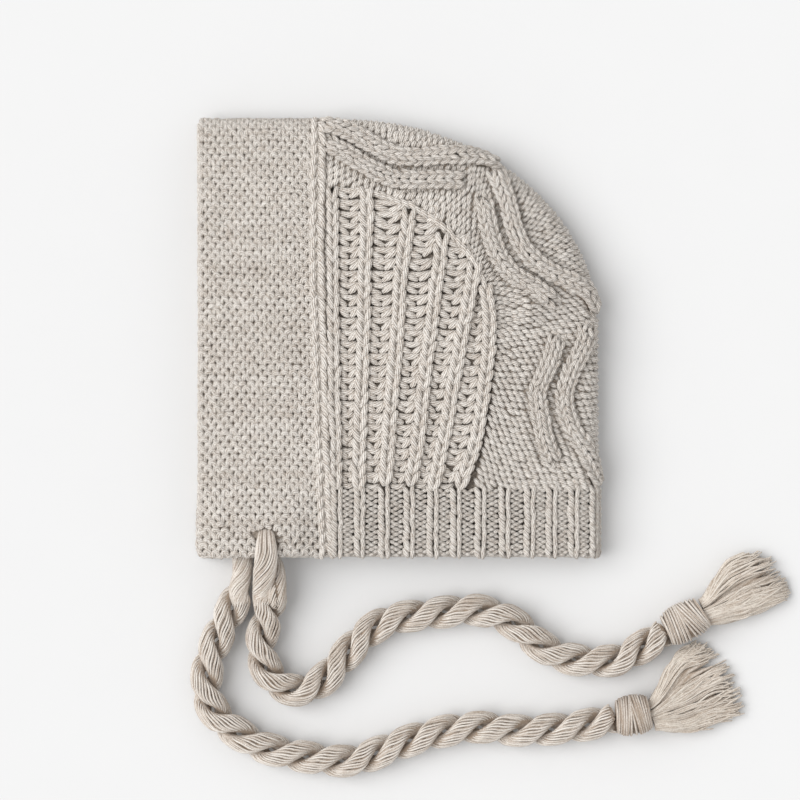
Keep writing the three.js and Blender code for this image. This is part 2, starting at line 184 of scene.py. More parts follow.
class Strands:
    """Lengths of yarn, each a line of points with a thickness at every point."""

    # The second argument lifts the tone of every yarn left without its own, as painted light.
    def __init__(self, seed, painted_light=0.0):
        self.random = np.random.default_rng(seed)
        self.painted_light = painted_light
        self.lines, self.radii, self.tones_and_painted_shade = [], [], []

    def add(self, lines, radii, tone_and_painted_shade=np.nan):
        """lines is (count, points, 3); radii fits (count, points). Nothing goes below the floor.
        The third argument is the yarn's tone, light above and dark below 0.5: its own tone, and where it is set low,
        painted shade. Left out, it differs from yarn to yarn."""
        lines = np.array(lines, float)
        radii = np.broadcast_to(radii, lines.shape[:2])
        lines[..., 2] = np.maximum(lines[..., 2], radii)
        self.lines.extend(lines)
        self.radii.extend(radii)
        self.tones_and_painted_shade.extend(np.broadcast_to(tone_and_painted_shade, len(lines)))

    def stitches(self, side, places, heading, shape, radius, scale=(1, 1), height=0.0, jitter=0.1, inside=False):
        """Copies one stitch to many places on the cloth.
        shape is (points, 3): along the heading, across it, and height. heading is in radians, one for each place."""
        places = np.asarray(places, float).reshape(-1, 2)
        count = len(places)
        if not count:
            return
        heading = np.broadcast_to(heading, count) + self.random.normal(0, 0.05, count)
        size = np.stack([np.broadcast_to(s, count) for s in scale], 1) * self.random.normal(1, 0.03, (count, 1))
        places = places + self.random.normal(0, jitter, (count, 2))
        ahead = np.stack([np.cos(heading), np.sin(heading)], 1)[:, None, :]
        across = np.stack([-np.sin(heading), np.cos(heading)], 1)[:, None, :]
        shape = np.asarray(shape, float)
        plan = places[:, None, :] + ahead * (shape[:, 0] * size[:, :1])[..., None]
        plan = plan + across * (shape[:, 1] * size[:, 1:])[..., None]
        lift = shape[:, 2] + np.broadcast_to(height, count)[:, None]
        lift = lift + self.random.normal(0, 0.06, (count, 1))
        if inside:
            lift = turned_in(lift, side)
        self.add(on_cloth(plan, lift, side), np.asarray(radius) * self.random.normal(1, 0.035, (count, 1)))

    def course(self, side, path, period, swing, radius, phase, lift, keep=None, inside=False):
        """One row of purl loops: a yarn that swings to and fro across its path, over one row and under the next.
        keep tells which places show. Points are fewer where the row lies on its face or inside."""
        at, heading, length = polyline(path)
        each = 8 if side > 0 and not inside else 5
        s = np.linspace(0, length, max(5, round(length / period * each)))
        turn = 2 * np.pi * s / period + phase
        knots = np.arange(int(2 * length / period) + 3)
        rough = [np.interp(s * 2 / period, knots, self.random.normal(0, 1, len(knots))) for _ in range(5)]
        place, way = at(s + 0.05 * period * (np.sin(2 * turn) + rough[0])), heading(s)
        across = swing * np.cos(turn) * (1 + 0.25 * rough[1]) + 0.2 * rough[2]
        plan = place + np.stack([-np.sin(way), np.cos(way)], 1) * across[:, None]
        rise = lift * np.cos(turn) + 0.09 * rough[4]
        thick = radius * (1 + 0.06 * np.cos(turn) + 0.05 * rough[3])
        if inside:
            rise = turned_in(rise, side)
        line = on_cloth(plan, rise, side)
        shown = np.ones(len(s), bool) if keep is None else keep(plan)
        cuts = np.r_[0, np.flatnonzero(np.diff(shown.astype(int))) + 1, len(s)]
        for start, end in zip(cuts[:-1], cuts[1:]):
            if shown[start] and end - start > 2:
                self.add([line[start:end]], [thick[start:end]])

    def mesh(self, name):
        """The centre lines as edges, with each point's thickness, distance along its line and the yarn's tone, which
        also carries painted shade and painted light where they are set.
        """
        counts = np.array([len(line) for line in self.lines])
        points = np.concatenate(self.lines) * MM
        ends = np.cumsum(counts)
        first = np.arange(len(points) - 1)
        first = np.delete(first, ends[:-1] - 1)
        mesh = bpy.data.meshes.new(name)
        mesh.vertices.add(len(points))
        mesh.vertices.foreach_set("co", points.ravel())
        mesh.edges.add(len(first))
        mesh.edges.foreach_set("vertices", np.stack([first, first + 1], 1).ravel())
        steps = np.linalg.norm(np.diff(points, axis=0, prepend=points[:1]), axis=1) / MM
        steps[ends[:-1]] = 0
        along = np.cumsum(steps)
        starts = np.repeat(along[np.r_[0, ends[:-1]]], counts)
        tone_and_painted_shade = np.array(self.tones_and_painted_shade)
        tone_and_painted_shade = np.repeat(np.where(np.isnan(tone_and_painted_shade), self.random.random(len(counts)) + self.painted_light, tone_and_painted_shade), counts)
        values = {"thickness": np.concatenate(self.radii) * MM, "along": along - starts, "tone_and_painted_shade": tone_and_painted_shade}
        for key, value in values.items():
            mesh.attributes.new(key, "FLOAT", "POINT").data.foreach_set("value", value.astype(np.float32))
        return mesh


# ---- node trees ----


class Value:
    """A number in a node tree. Arithmetic on it adds Math nodes."""

    def __init__(self, graph, socket):
        self.graph, self.socket = graph, socket

    def __add__(self, other):
        return self.graph.math("ADD", self, other)

    def __sub__(self, other):
        return self.graph.math("SUBTRACT", self, other)

    def __mul__(self, other):
        return self.graph.math("MULTIPLY", self, other)


class Graph:
    """Fills a node tree."""

    def __init__(self, tree):
        self.tree = tree
        tree.nodes.clear()

    def node(self, kind, settings=None, sockets=None):
        """One node: its settings first, then the values or links of its sockets."""
        made = self.tree.nodes.new(kind)
        for key, value in (settings or {}).items():
            setattr(made, key, value)
        for key, value in (sockets or {}).items():
            socket = made.inputs[key]
            value = value.socket if isinstance(value, Value) else value
            if isinstance(value, bpy.types.NodeSocket):
                self.tree.links.new(value, socket)
            else:
                socket.default_value = value
        return made

    def math(self, operation, *values):
        made = self.node("ShaderNodeMath", {"operation": operation}, dict(enumerate(values)))
        return Value(self, made.outputs[0])

    def value(self, kind, output, settings=None, sockets=None):
        return Value(self, self.node(kind, settings, sockets).outputs[output])


def thickness_tree():
    """Geometry Nodes: turns a mesh of edges into round yarn. The point attribute thickness is each yarn's radius."""
    name = "Yarn from centre lines"
    if name in bpy.data.node_groups:
        return bpy.data.node_groups[name]
    tree = bpy.data.node_groups.new(name, "GeometryNodeTree")
    face = tree.interface
    face.new_socket("Geometry", in_out="INPUT", socket_type="NodeSocketGeometry")
    for label, kind, default in (
        ("Sides", "NodeSocketInt", 6),
        ("Fullness", "NodeSocketFloat", 1.0),
        ("Material", "NodeSocketMaterial", None),
    ):
        socket = face.new_socket(label, in_out="INPUT", socket_type=kind)
        if default is not None:
            socket.default_value = default
    face.new_socket("Geometry", in_out="OUTPUT", socket_type="NodeSocketGeometry")
    graph = Graph(tree)
    given = graph.node("NodeGroupInput").outputs
    lines = graph.node("GeometryNodeMeshToCurve", sockets={"Mesh": given["Geometry"]})
    ring = graph.node("GeometryNodeCurvePrimitiveCircle", sockets={"Resolution": given["Sides"], "Radius": 1.0})
    place = graph.node("GeometryNodeInputPosition")
    marked = graph.node(
        "GeometryNodeStoreNamedAttribute",
        {"data_type": "FLOAT_VECTOR", "domain": "POINT"},
        {"Geometry": ring.outputs["Curve"], "Name": "around", "Value": place.outputs["Position"]},
    )
    radius = graph.node("GeometryNodeInputNamedAttribute", {"data_type": "FLOAT"}, {"Name": "thickness"})
    thick = Value(graph, radius.outputs["Attribute"]) * Value(graph, given["Fullness"])
    tubes = graph.node(
        "GeometryNodeCurveToMesh",
        sockets={
            "Curve": lines.outputs["Curve"],
            "Profile Curve": marked.outputs["Geometry"],
            "Scale": thick,
            "Fill Caps": True,
        },
    )
    smooth = graph.node("GeometryNodeSetShadeSmooth", sockets={0: tubes.outputs["Mesh"]})
    real = graph.node("GeometryNodeRealizeInstances", sockets={"Geometry": smooth.outputs[0]})
    coat = {"Geometry": real.outputs[0], "Material": given["Material"]}
    dressed = graph.node("GeometryNodeSetMaterial", sockets=coat)
    graph.node("NodeGroupOutput", sockets={"Geometry": dressed.outputs[0]})
    return tree


def plain_object(name, mesh):
    made = bpy.data.objects.new(name, mesh)
    bpy.context.scene.collection.objects.link(made)
    return made


def settle(obj, node):
    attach(obj, "root")
    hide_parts(node)


def knit(name, strands, material, sides, node, fullness=1.0):
    """Gives the strands their thickness, as a plain mesh object that stands for a node."""
    lines = plain_object(name + "_lines", strands.mesh(name + "_lines"))
    tree = thickness_tree()
    modifier = lines.modifiers.new("Yarn", "NODES")
    modifier.node_group = tree
    ids = {s.name: s.identifier for s in tree.interface.items_tree if s.in_out == "INPUT"}
    modifier[ids["Sides"]] = sides
    modifier[ids["Fullness"]] = float(fullness)
    modifier[ids["Material"]] = material
    ready = lines.evaluated_get(bpy.context.evaluated_depsgraph_get())
    mesh = bpy.data.meshes.new_from_object(ready)
    lines.modifiers.remove(modifier)
    bpy.data.objects.remove(lines)
    mesh.name = name
    settle(plain_object(name, mesh), node)


def new_material(name):
    material = bpy.data.materials.new(name)
    material.use_nodes = True
    return material, Graph(material.node_tree)


def clamped(graph, value):
    return graph.math("MINIMUM", graph.math("MAXIMUM", value, 0.0), 1.0)


def blend(graph, factor, low, high):
    """The colour between two others."""
    return graph.node("ShaderNodeMix", {"data_type": "RGBA"}, {0: factor, 6: (*low, 1), 7: (*high, 1)}).outputs[2]


def shade_with(graph, kind, sockets):
    """Ends a material in one shader."""
    shader = graph.node(kind, sockets=sockets)
    graph.node("ShaderNodeOutputMaterial", sockets={"Surface": shader.outputs[0]})


def yarn_material(name, light, dark, plies, twist, depth, base=0.27, mottle=1.0):
    """Heathered wool: the plies run round each yarn, and fibres streak along it. The plies are painted darker where
    they meet, as painted shade in the grooves between them.
    base is the tone in those grooves; mottle is the strength of the streaks and specks."""
    if name in bpy.data.materials:
        return bpy.data.materials[name]
    material, graph = new_material(name)
    around = graph.node("ShaderNodeAttribute", {"attribute_name": "around"})
    parts = graph.node("ShaderNodeSeparateXYZ", sockets={0: around.outputs["Vector"]})
    along = graph.value("ShaderNodeAttribute", "Fac", {"attribute_name": "along"})
    tone_and_painted_shade = graph.value("ShaderNodeAttribute", "Fac", {"attribute_name": "tone_and_painted_shade"})
    angle = graph.math("ARCTAN2", parts.outputs[1], parts.outputs[0])
    turned = angle + along * twist + tone_and_painted_shade * 19.0
    ply = graph.math("ABSOLUTE", graph.math("SINE", turned * (plies / 2)))
    streak_at = graph.node(
        "ShaderNodeCombineXYZ",
        sockets={
            0: graph.math("COSINE", turned) * 0.9,
            1: graph.math("SINE", turned) * 0.9,
            2: along * 0.26 + tone_and_painted_shade * 57.0,
        },
    )
    noise = {"Detail": 3.0, "Roughness": 0.65}
    streak = graph.value("ShaderNodeTexNoise", 0, None, {"Vector": streak_at.outputs[0], "Scale": 2.4, **noise})
    spot = graph.node("ShaderNodeTexCoord").outputs["Object"]
    patch = graph.value("ShaderNodeTexNoise", 0, None, {"Vector": spot, "Scale": 260.0, **noise})
    fuzz = graph.value("ShaderNodeTexNoise", 0, None, {"Vector": spot, "Scale": 1900.0, **noise})
    specks = (streak - 0.5) * 2.4 + (patch - 0.5) * 0.8 + (fuzz - 0.5) * 2.6
    # The ply term paints shade in the grooves between the plies; the yarn's tone attribute adds painted shade where
    # it is set low and painted light where it is raised.
    tone = ply * 0.62 + specks * mottle + (tone_and_painted_shade - 0.5) * 0.25 + base
    colour = blend(graph, clamped(graph, tone), dark, light)
    bump = graph.node(
        "ShaderNodeBump",
        sockets={"Strength": 1.0, "Distance": depth, "Height": ply + streak * 1.1 + fuzz * 0.8},
    )
    shade_with(graph, "ShaderNodeBsdfPrincipled", {
        "Base Color": colour,
        "Roughness": 0.92,
        "Specular IOR Level": 0.25,
        "Sheen Weight": 0.18,
        "Sheen Roughness": 0.5,
        "Sheen Tint": (1.0, 0.97, 0.93, 1.0),
        "Normal": bump.outputs[0],
    })
    return material


def backing_material(colour, shade=1.0):
    """The inside of the knitting, seen between the stitches: small loops of the same wool, in shade."""
    colour = tuple(c * shade for c in colour)
    name = f"Wool between the stitches {shade}"
    if name in bpy.data.materials:
        return bpy.data.materials[name]
    material, graph = new_material(name)
    spot = graph.node("ShaderNodeTexCoord").outputs["Object"]
    parts = graph.node("ShaderNodeSeparateXYZ", sockets={0: spot})
    x, y, z = (Value(graph, parts.outputs[i]) * (1 / MM) for i in range(3))
    loops = graph.math("SINE", (x + z) * 1.9) * graph.math("SINE", (y + z) * 2.67)
    grain = graph.value("ShaderNodeTexNoise", 0, None, {"Vector": spot, "Scale": 900.0, "Detail": 3.0})
    # The loops and grain are painted lighter where they stand up and darker where they sink, as painted shade.
    light = clamped(graph, loops * 0.3 + grain * 0.7 + 0.15)
    mixed = blend(graph, light, tuple(c * 0.55 for c in colour), colour)
    bump = graph.node("ShaderNodeBump", sockets={"Strength": 1.0, "Distance": 0.0006, "Height": loops * 0.6 + grain})
    shade_with(graph, "ShaderNodeBsdfPrincipled", {
        "Base Color": mixed,
        "Roughness": 0.95,
        "Specular IOR Level": 0.2,
        "Normal": bump.outputs[0],
    })
    return material


# ---- settings ----


def wool_colour(name, description, default):
    return FloatVectorProperty(
        name=name, description=description, subtype="COLOR", size=3, default=default, min=0, max=1
    )


class BonnetKnitting(bpy.types.PropertyGroup):
    light: wool_colour("Light wool", "The wool where its fibres catch the light", (0.95, 0.9, 0.84))
    # The dark wool is both the heather's darker fibres and the painted shade where the plies meet.
    dark: wool_colour("Dark wool", "The darker fibres of the heather", (0.53, 0.445, 0.37))
    # The wool between the stitches is painted in shade; each piece's backing scales it by its own shade.
    inside: wool_colour("Between the stitches", "The wool that shows between the stitches", (0.49, 0.42, 0.355))
    fullness: FloatProperty(
        name="Fullness", description="How thick the yarn is against its pattern", default=1.0, min=0.6, max=1.3,
        subtype="FACTOR",
    )
    columns: IntProperty(
        name="Band stitches", description="Stitches across the front band", default=14, min=6, max=30
    )
    rows: IntProperty(name="Band rows", description="Rows over the height of the band", default=75, min=30, max=120)
    seed: IntProperty(name="Seed", description="Seed of the small unevenness of hand knitting", default=7)


class BonnetTies(bpy.types.PropertyGroup):
    light: wool_colour("Light wool", "The ties' wool where its fibres catch the light", (0.84, 0.79, 0.73))
    # The ties' dark wool is also their painted shade: the cores and the knots' bodies are mostly this colour.
    dark: wool_colour("Dark wool", "The darker fibres of the ties", (0.39, 0.305, 0.235))
    tassel: wool_colour("Tassel wool", "The loose ends of the yarns", (0.80, 0.735, 0.655))
    pitch: FloatProperty(
        name="Pitch", description="Length of one full turn of a tie's two plies", default=0.0288, min=0.015,
        max=0.06, unit="LENGTH",
    )
    yarns: IntProperty(name="Yarns", description="Yarns round each ply", default=20, min=8, max=30)
    yarn: FloatProperty(
        name="Yarn", description="Thickness of a yarn of the ties", default=0.00096, min=0.0006, max=0.003,
        unit="LENGTH",
    )
    tassel_strands: IntProperty(
        name="Tassel strands", description="Strands in each tassel", default=240, min=60, max=600
    )
    seed: IntProperty(name="Seed", description="Seed of the unevenness of the yarns", default=11)


class BonnetStage(bpy.types.PropertyGroup):
    width: FloatProperty(
        name="Width in view", description="Width that the camera takes in", default=0.32, min=0.2, max=1,
        unit="LENGTH",
    )
    lens: FloatProperty(name="Lens", description="Focal length in millimetres", default=200, min=35, max=300)
    sun: FloatProperty(
        name="Key light", description="Strength of the light from the left", default=2.13, min=0, max=10
    )
    sky: FloatProperty(name="Fill light", description="Strength of the light from all round", default=0.655, min=0)


def wool(settings):
    return yarn_material("Knitting wool", settings.light, settings.dark, 7.0, 0.42, 0.00045)


def tie_wool(settings):
    return yarn_material("Tie wool", settings.light, settings.dark, 2.0, 0.12, 0.00012, 0.2, 0.5)


def slab(name, region, sides, across, up, material, node, depth=1.35):
    """The body of one knitted piece under its stitches. region maps two arrays from 0 to 1 to the cloth."""
    u, v = np.meshgrid(np.linspace(0, 1, across + 1), np.linspace(0, 1, up + 1))
    points, faces = [], []
    grid = np.arange((across + 1) * (up + 1)).reshape(up + 1, across + 1)
    rim = np.concatenate([grid[0, :-1], grid[:-1, -1], grid[-1, :0:-1], grid[:0:-1, 0]])
    quads = np.stack([grid[:-1, :-1], grid[:-1, 1:], grid[1:, 1:], grid[1:, :-1]], -1).reshape(-1, 4)
    for side in sides:
        plan = np.stack(region(u.ravel(), v.ravel()), 1)
        outer = on_cloth(plan, -depth, side)
        inner = on_cloth(plan, -WALL + 0.9 + (SINK if side < 0 else 0), side)
        start = sum(len(p) for p in points)
        points += [outer, inner]
        size = len(outer)
        shell = [quads, quads[:, ::-1] + size]
        ring = np.roll(rim, -1)
        shell.append(np.stack([rim + size, ring + size, ring, rim], -1))
        shell = np.concatenate(shell) + start
        faces.append(shell if side > 0 else shell[:, ::-1])
    mesh = bpy.data.meshes.new(name)
    mesh.from_pydata((np.concatenate(points) * MM).tolist(), [], np.concatenate(faces).tolist())
    mesh.polygons.foreach_set("use_smooth", [True] * len(mesh.polygons))
    mesh.materials.append(material)
    mesh.update()
    settle(plain_object(name, mesh), node)


# ---- stitch shapes: along, across, height ----


def edge_bump(half, radius):
    """A short arc of yarn over an edge, and its thickness."""
    t = np.linspace(-1, 1, 7)
    return np.stack([half * t, 0.25 * (0.5 - t * t), 0.05 - 0.15 * abs(t) ** 3], 1), radius * (1 - 0.35 * t**4)


def leg_shape(start, end, points=8, arch=0.9, bow=0.0):
    """A leg of a knit stitch, from its outer shoulder to its foot."""
    t = np.linspace(0, 1, points)
    line = np.stack([lerp(start[0], end[0], t), lerp(start[1], end[1], t)], 1)
    away = np.array([-(end[1] - start[1]), end[0] - start[0]])
    away = away / np.linalg.norm(away)
    line = line + np.sin(np.pi * t)[:, None] * away * bow
    return np.column_stack([line, arch * (np.sin(np.pi * np.clip(t * 0.94 + 0.03, 0, 1)) ** 0.7 - 1)])


def leg_radius(radius, points=8):
    t = np.linspace(0, 1, points)
    return radius * (0.58 + 0.42 * np.sin(np.pi * np.clip(t * 0.9 + 0.06, 0, 1)) ** 0.7)


def polyline(points):
    """A function from a distance along a line to places and headings, and the line's length."""
    points = np.asarray(points, float)
    steps = np.r_[0, np.cumsum(np.linalg.norm(np.diff(points, axis=0), axis=1))]

    def at(distance):
        return np.stack([np.interp(distance, steps, points[:, i]) for i in range(2)], -1)

    def heading(distance):
        ahead = at(np.minimum(distance + 1.2, steps[-1])) - at(np.maximum(distance - 1.2, 0))
        return np.arctan2(ahead[..., 1], ahead[..., 0])

    return at, heading, steps[-1]


def thinned(shape, radius, side):
    """Fewer points for the far layer, which lies on its face."""
    if side > 0:
        return shape, radius
    keep = np.linspace(0, len(shape) - 1, max(4, len(shape) * 2 // 3)).round().astype(int)
    return np.asarray(shape)[keep], np.asarray(radius)[keep]


def column(strands, side, line, pitch, width, radius, height, bow=0.3):
    """A column of knit stitches down a line: each has a left and a right leg that meet at its foot.
    One more strand lies hidden under them, and fills the gap between the legs."""
    at, heading, length = polyline(line)
    places = np.arange(pitch / 2, length - pitch * 0.2, pitch)
    reach = 0.62 * pitch
    strands.add([on_cloth(np.asarray(line)[1:-1], height - 1.7, side)], [radius])
    for hand in (-1, 1):
        shoulder = (-reach, hand * width * 0.34)
        foot = (reach * 1.06, hand * width * 0.045)
        shape, thick = thinned(leg_shape(shoulder, foot, arch=1.1, bow=hand * bow), leg_radius(radius), side)
        uneven = strands.random.normal(0, 0.07, len(places))
        strands.stitches(side, at(places), heading(places) + uneven, shape, thick, height=height, jitter=0.13)


def smooth_line(points, step=1.0):
    """A rounded line through the points, evenly spaced (centripetal Catmull-Rom)."""
    points = np.asarray(points, float)
    padded = np.vstack([2 * points[0] - points[1], points, 2 * points[-1] - points[-2]])
    found = []
    for i in range(1, len(padded) - 2):
        p0, p1, p2, p3 = padded[i - 1 : i + 3]
        gaps = [max(np.linalg.norm(b - a), 1e-6) ** 0.5 for a, b in ((p0, p1), (p1, p2), (p2, p3))]
        t = np.r_[0, np.cumsum(gaps)]
        u = np.linspace(t[1], t[2], 24, endpoint=False)[:, None]

        def between(i, j, p, q):
            return (t[j] - u) / (t[j] - t[i]) * p + (u - t[i]) / (t[j] - t[i]) * q

        first, second, third = between(0, 1, p0, p1), between(1, 2, p1, p2), between(2, 3, p2, p3)
        found.append(between(1, 2, between(0, 2, first, second), between(1, 3, second, third)))
    found = np.vstack([*found, points[-1:]])
    steps = np.r_[0, np.cumsum(np.linalg.norm(np.diff(found, axis=0), axis=1))]
    even = np.linspace(0, steps[-1], max(2, int(round(steps[-1] / step)) + 1))
    return np.stack([np.interp(even, steps, found[:, i]) for i in range(found.shape[1])], 1)


# ---- the pieces of the bonnet on the flat knitting ----

TOP_END = TOP_Y - FOLD + HALF_TURN  # the outermost line of the top fold, on the flat knitting
BACK_END = BACK_X - FOLD + HALF_TURN
FAN_X, FAN_WIDE, FAN_HIGH, FAN_FOOT_X = -25.4, 64.0, 57.2, 29.8

_turn = np.linspace(np.pi / 2, 0, 40)
_bow = np.linspace(0, 1, 24)[1:, None]
FAN_OUTLINE = np.vstack([
    [(-28.2, ROUND_Y + FAN_HIGH)],
    np.stack([FAN_X + FAN_WIDE * np.cos(_turn), ROUND_Y + FAN_HIGH * np.sin(_turn)], 1),
    (1 - _bow) ** 2 * (FAN_X + FAN_WIDE, ROUND_Y)
    + 2 * _bow * (1 - _bow) * (38.0, -30.0)
    + _bow**2 * (FAN_FOOT_X, RIB_Y),
])
OUTER_LINE = np.vstack([
    [(-28.6, TOP_END), (ROUND_X, TOP_END)],
    FOLD_LINE + FOLD_OUT * (HALF_TURN - FOLD),
    [(BACK_END, ROUND_Y - 0.1), (BACK_END, RIB_Y)],
])
fan_at, _, FAN_LENGTH = polyline(FAN_OUTLINE)
outer_at, _, OUTER_LENGTH = polyline(OUTER_LINE)

# The column of knit stitches along the inner edge of the band, from the top down.
CHAIN = [
    (-31.9, TOP_END), (-31.9, 84), (-32.1, 63), (-32.4, 42), (-32.3, 23), (-31.6, 3), (-30.9, -25), (-30.2, -49),
    (-29.6, -65), (-28.8, NECK_Y + 0.6),
]

# Ribs of the side fan, from the arc down to the neck rib.
FAN_RIBS = [
    [(-26.4, 59.5), (-25.9, 23), (-25.4, -20), (-24.8, -45), (-24.7, -61)],
    [(-12.6, 59), (-12.9, 40), (-13.6, 20), (-14.2, -8), (-15.4, -40), (-15.8, -61)],
    [(4.6, 51), (2.6, 38), (0.7, 22.7), (-0.2, 7), (-1.4, -9.4), (-3.2, -28), (-4, -42), (-5.6, -61)],
    [(17.6, 41), (15.8, 26), (15, 22.6), (13.4, 7), (11.2, -9.4), (9.4, -26), (7.8, -40), (4.4, -61)],
    [(30.2, 29), (29.2, 22), (26.4, 7), (23.4, -9.4), (20.6, -26), (18.4, -38), (13.6, -61)],
    [(34.6, 20), (36, 9), (35.8, -3), (34.8, -14), (33.2, -26), (31, -40), (28.4, -48), (23.6, -61)],
]
NECK_RIBS = [-24.7, -15.6, -5.8, 4.2, 13.6, 22.8, 32.6, 42.2, 52.2, 61.0, 69.8, 78.4, 85.1]

# Middle lines of the cables over the crown.
CABLES = [
    [(-32, 86.6), (-21.4, 82.8), (-11.4, 77.6), (-1.4, 72.4), (8, 72.0), (22, 72.6), (35, 72.2), (43, 69.4)],
    [(-29.6, 78.4), (-21.4, 73.6), (-11.4, 67.6), (-2.6, 63.6), (6, 62.8), (17, 63.0), (26.6, 62.6)],
    [(38.2, 67.4), (40.2, 62), (43, 54.8), (46.4, 42.4), (50.6, 34.4), (59.4, 26.8), (69.4, 22),
     (76.8, 17), (82, 9)],
    [(33.8, 56.4), (35, 49.2), (36.2, 42.4), (39, 34.4), (44.2, 26.4), (55.4, 19.2), (63.4, 13.2)],
    [(63.4, 0.8), (60.2, -9.4), (56.6, -17.6), (55.2, -21.6), (56.2, -29.8), (57.8, -38.6), (59.8, -45),
     (62.8, -50.4)],
    [(75, 5.6), (74.2, -1.2), (70.6, -9.4), (67.2, -17.6), (65.8, -25.8), (68.2, -34), (69.8, -37.6), (74.6, -44.8),
     (79, -53.2), (84, -60)],
]


def band_region(u, v):
    y = lerp(NECK_Y + 0.7, TOP_END, v)
    return lerp(FACE_X + 0.7, band_edge(y), u), y


def rib_region(u, v):
    y = lerp(NECK_Y + 0.7, RIB_Y, v)
    return lerp(band_edge(y), BACK_END, u), y


def fan_region(u, v):
    top = fan_at(u * FAN_LENGTH)
    return lerp(lerp(band_edge(RIB_Y), FAN_FOOT_X, u), top[:, 0], v), lerp(RIB_Y, top[:, 1], v)


def crown_region(u, v):
    inner, outer = fan_at(u * FAN_LENGTH), outer_at(u * OUTER_LENGTH)
    return lerp(inner[:, 0], outer[:, 0], v), lerp(inner[:, 1], outer[:, 1], v)


def garter(strands, side, columns, rows, inside=False, limit=None):
    """Rows of purl loops of the front band, each row half a stitch along from the last."""
    pitch = (TOP_END - NECK_Y - 0.9) / rows
    for row in range(rows):
        y = NECK_Y + 0.9 + (row + 0.5) * pitch
        right = lerp(-31.2, -34.4, (y - NECK_Y) / (TOP_Y - NECK_Y)) if limit is None else limit
        x = np.linspace(FACE_X + 1.2, right, 16)
        level = y + 0.35 * np.sin(x * 0.16 + y * 0.045) + 0.2 * np.sin(x * 0.41 - y * 0.11)
        period = (lerp(-31.6, -34.8, (y - NECK_Y) / (TOP_Y - NECK_Y)) - FACE_X) / columns
        strands.course(
            side, np.stack([x, level], 1), period, swing=0.82, radius=1.1, phase=math.pi * (row % 2),
            lift=0.27, keep=None if inside or side < 0 else clear_of_loop, inside=inside,
        )


def clear_of_loop(plan):
    """True where the near tie's loop does not come through or lie on the band."""
    x, y = plan[:, 0] - LOOP_X["near"], plan[:, 1]
    return (np.hypot(x / 5.0, (y - EYELET_Y + 1) / 3.2) > 1) & ~((abs(x) < 4.2) & (y < EYELET_Y))


def edge_row(strands, side, start, end, spacing, inward, radius=1.15):
    """The selvedge of an open edge: short lengths of yarn over the thickness of the cloth."""
    start, end = np.asarray(start, float), np.asarray(end, float)
    length = np.linalg.norm(end - start)
    ahead = (end - start) / length
    inward = np.asarray(inward, float)
    count = int(length / spacing)
    for level, depth in enumerate((-1.5, -2.9)):
        along = (np.arange(count) + 0.5 + 0.5 * (level % 2)) * spacing
        along = along[along < length - spacing * 0.3]
        places = start + ahead * along[:, None] + inward * 1.15
        heading = math.atan2(ahead[1], ahead[0])
        shape, thick = thinned(*edge_bump(spacing * 0.62, radius), side)
        strands.stitches(side, places, heading, shape, thick, height=depth, jitter=0.06)


class BONNET_OT_band(bpy.types.Operator):
    """Front band: garter stitch, with a column of knit stitches along its inner edge"""

    bl_idname = "bonnet.band"
    bl_label = "Front band"

    def execute(self, context):
        knitting = context.scene.bonnet_knitting
        material = wool(knitting)
        for side, name in ((1, "front_band_near"), (-1, "front_band_far")):
            strands = Strands(knitting.seed + side)
            garter(strands, side, knitting.columns, knitting.rows)
            garter(strands, side, knitting.columns, knitting.rows, inside=True, limit=FACE_X + 12)
            column(strands, side, smooth_line(CHAIN[::-1], 2), 4.7, 6.2, 1.38, 0.7, bow=0.55)
            self.groove(strands, side)
            edge_row(strands, side, (FACE_X, NECK_Y + 1.6), (FACE_X, TOP_END), 4.1, (1, 0))
            edge_row(strands, side, (FACE_X + 1.6, NECK_Y), (band_edge(NECK_Y), NECK_Y), 3.3, (0, 1))
            knit(name, strands, material, 6 if side > 0 else 5, "front_band", fullness=knitting.fullness)
        backing = backing_material(knitting.inside, 1.1)
        slab("front_band_body", band_region, (1, -1), 18, 64, backing, "front_band", 0.75)
        return {"FINISHED"}


    @staticmethod
    def groove(strands, side):
        """Short bits of yarn in the groove beside the column of knit stitches."""
        at, heading, length = polyline(np.array(CHAIN) + (3.6, 0))
        places = np.arange(2.0, length, 2.35)
        shape, radius = thinned(leg_shape((-1.3, -0.6), (1.3, 0.6), 6), leg_radius(0.8, 6), side)
        strands.stitches(side, at(places), heading(places), shape, radius, height=-0.6, jitter=0.18)


def fan_rib_at(rib, y):
    points = np.array(FAN_RIBS[rib])[::-1]
    return np.interp(y, points[:, 1], points[:, 0])


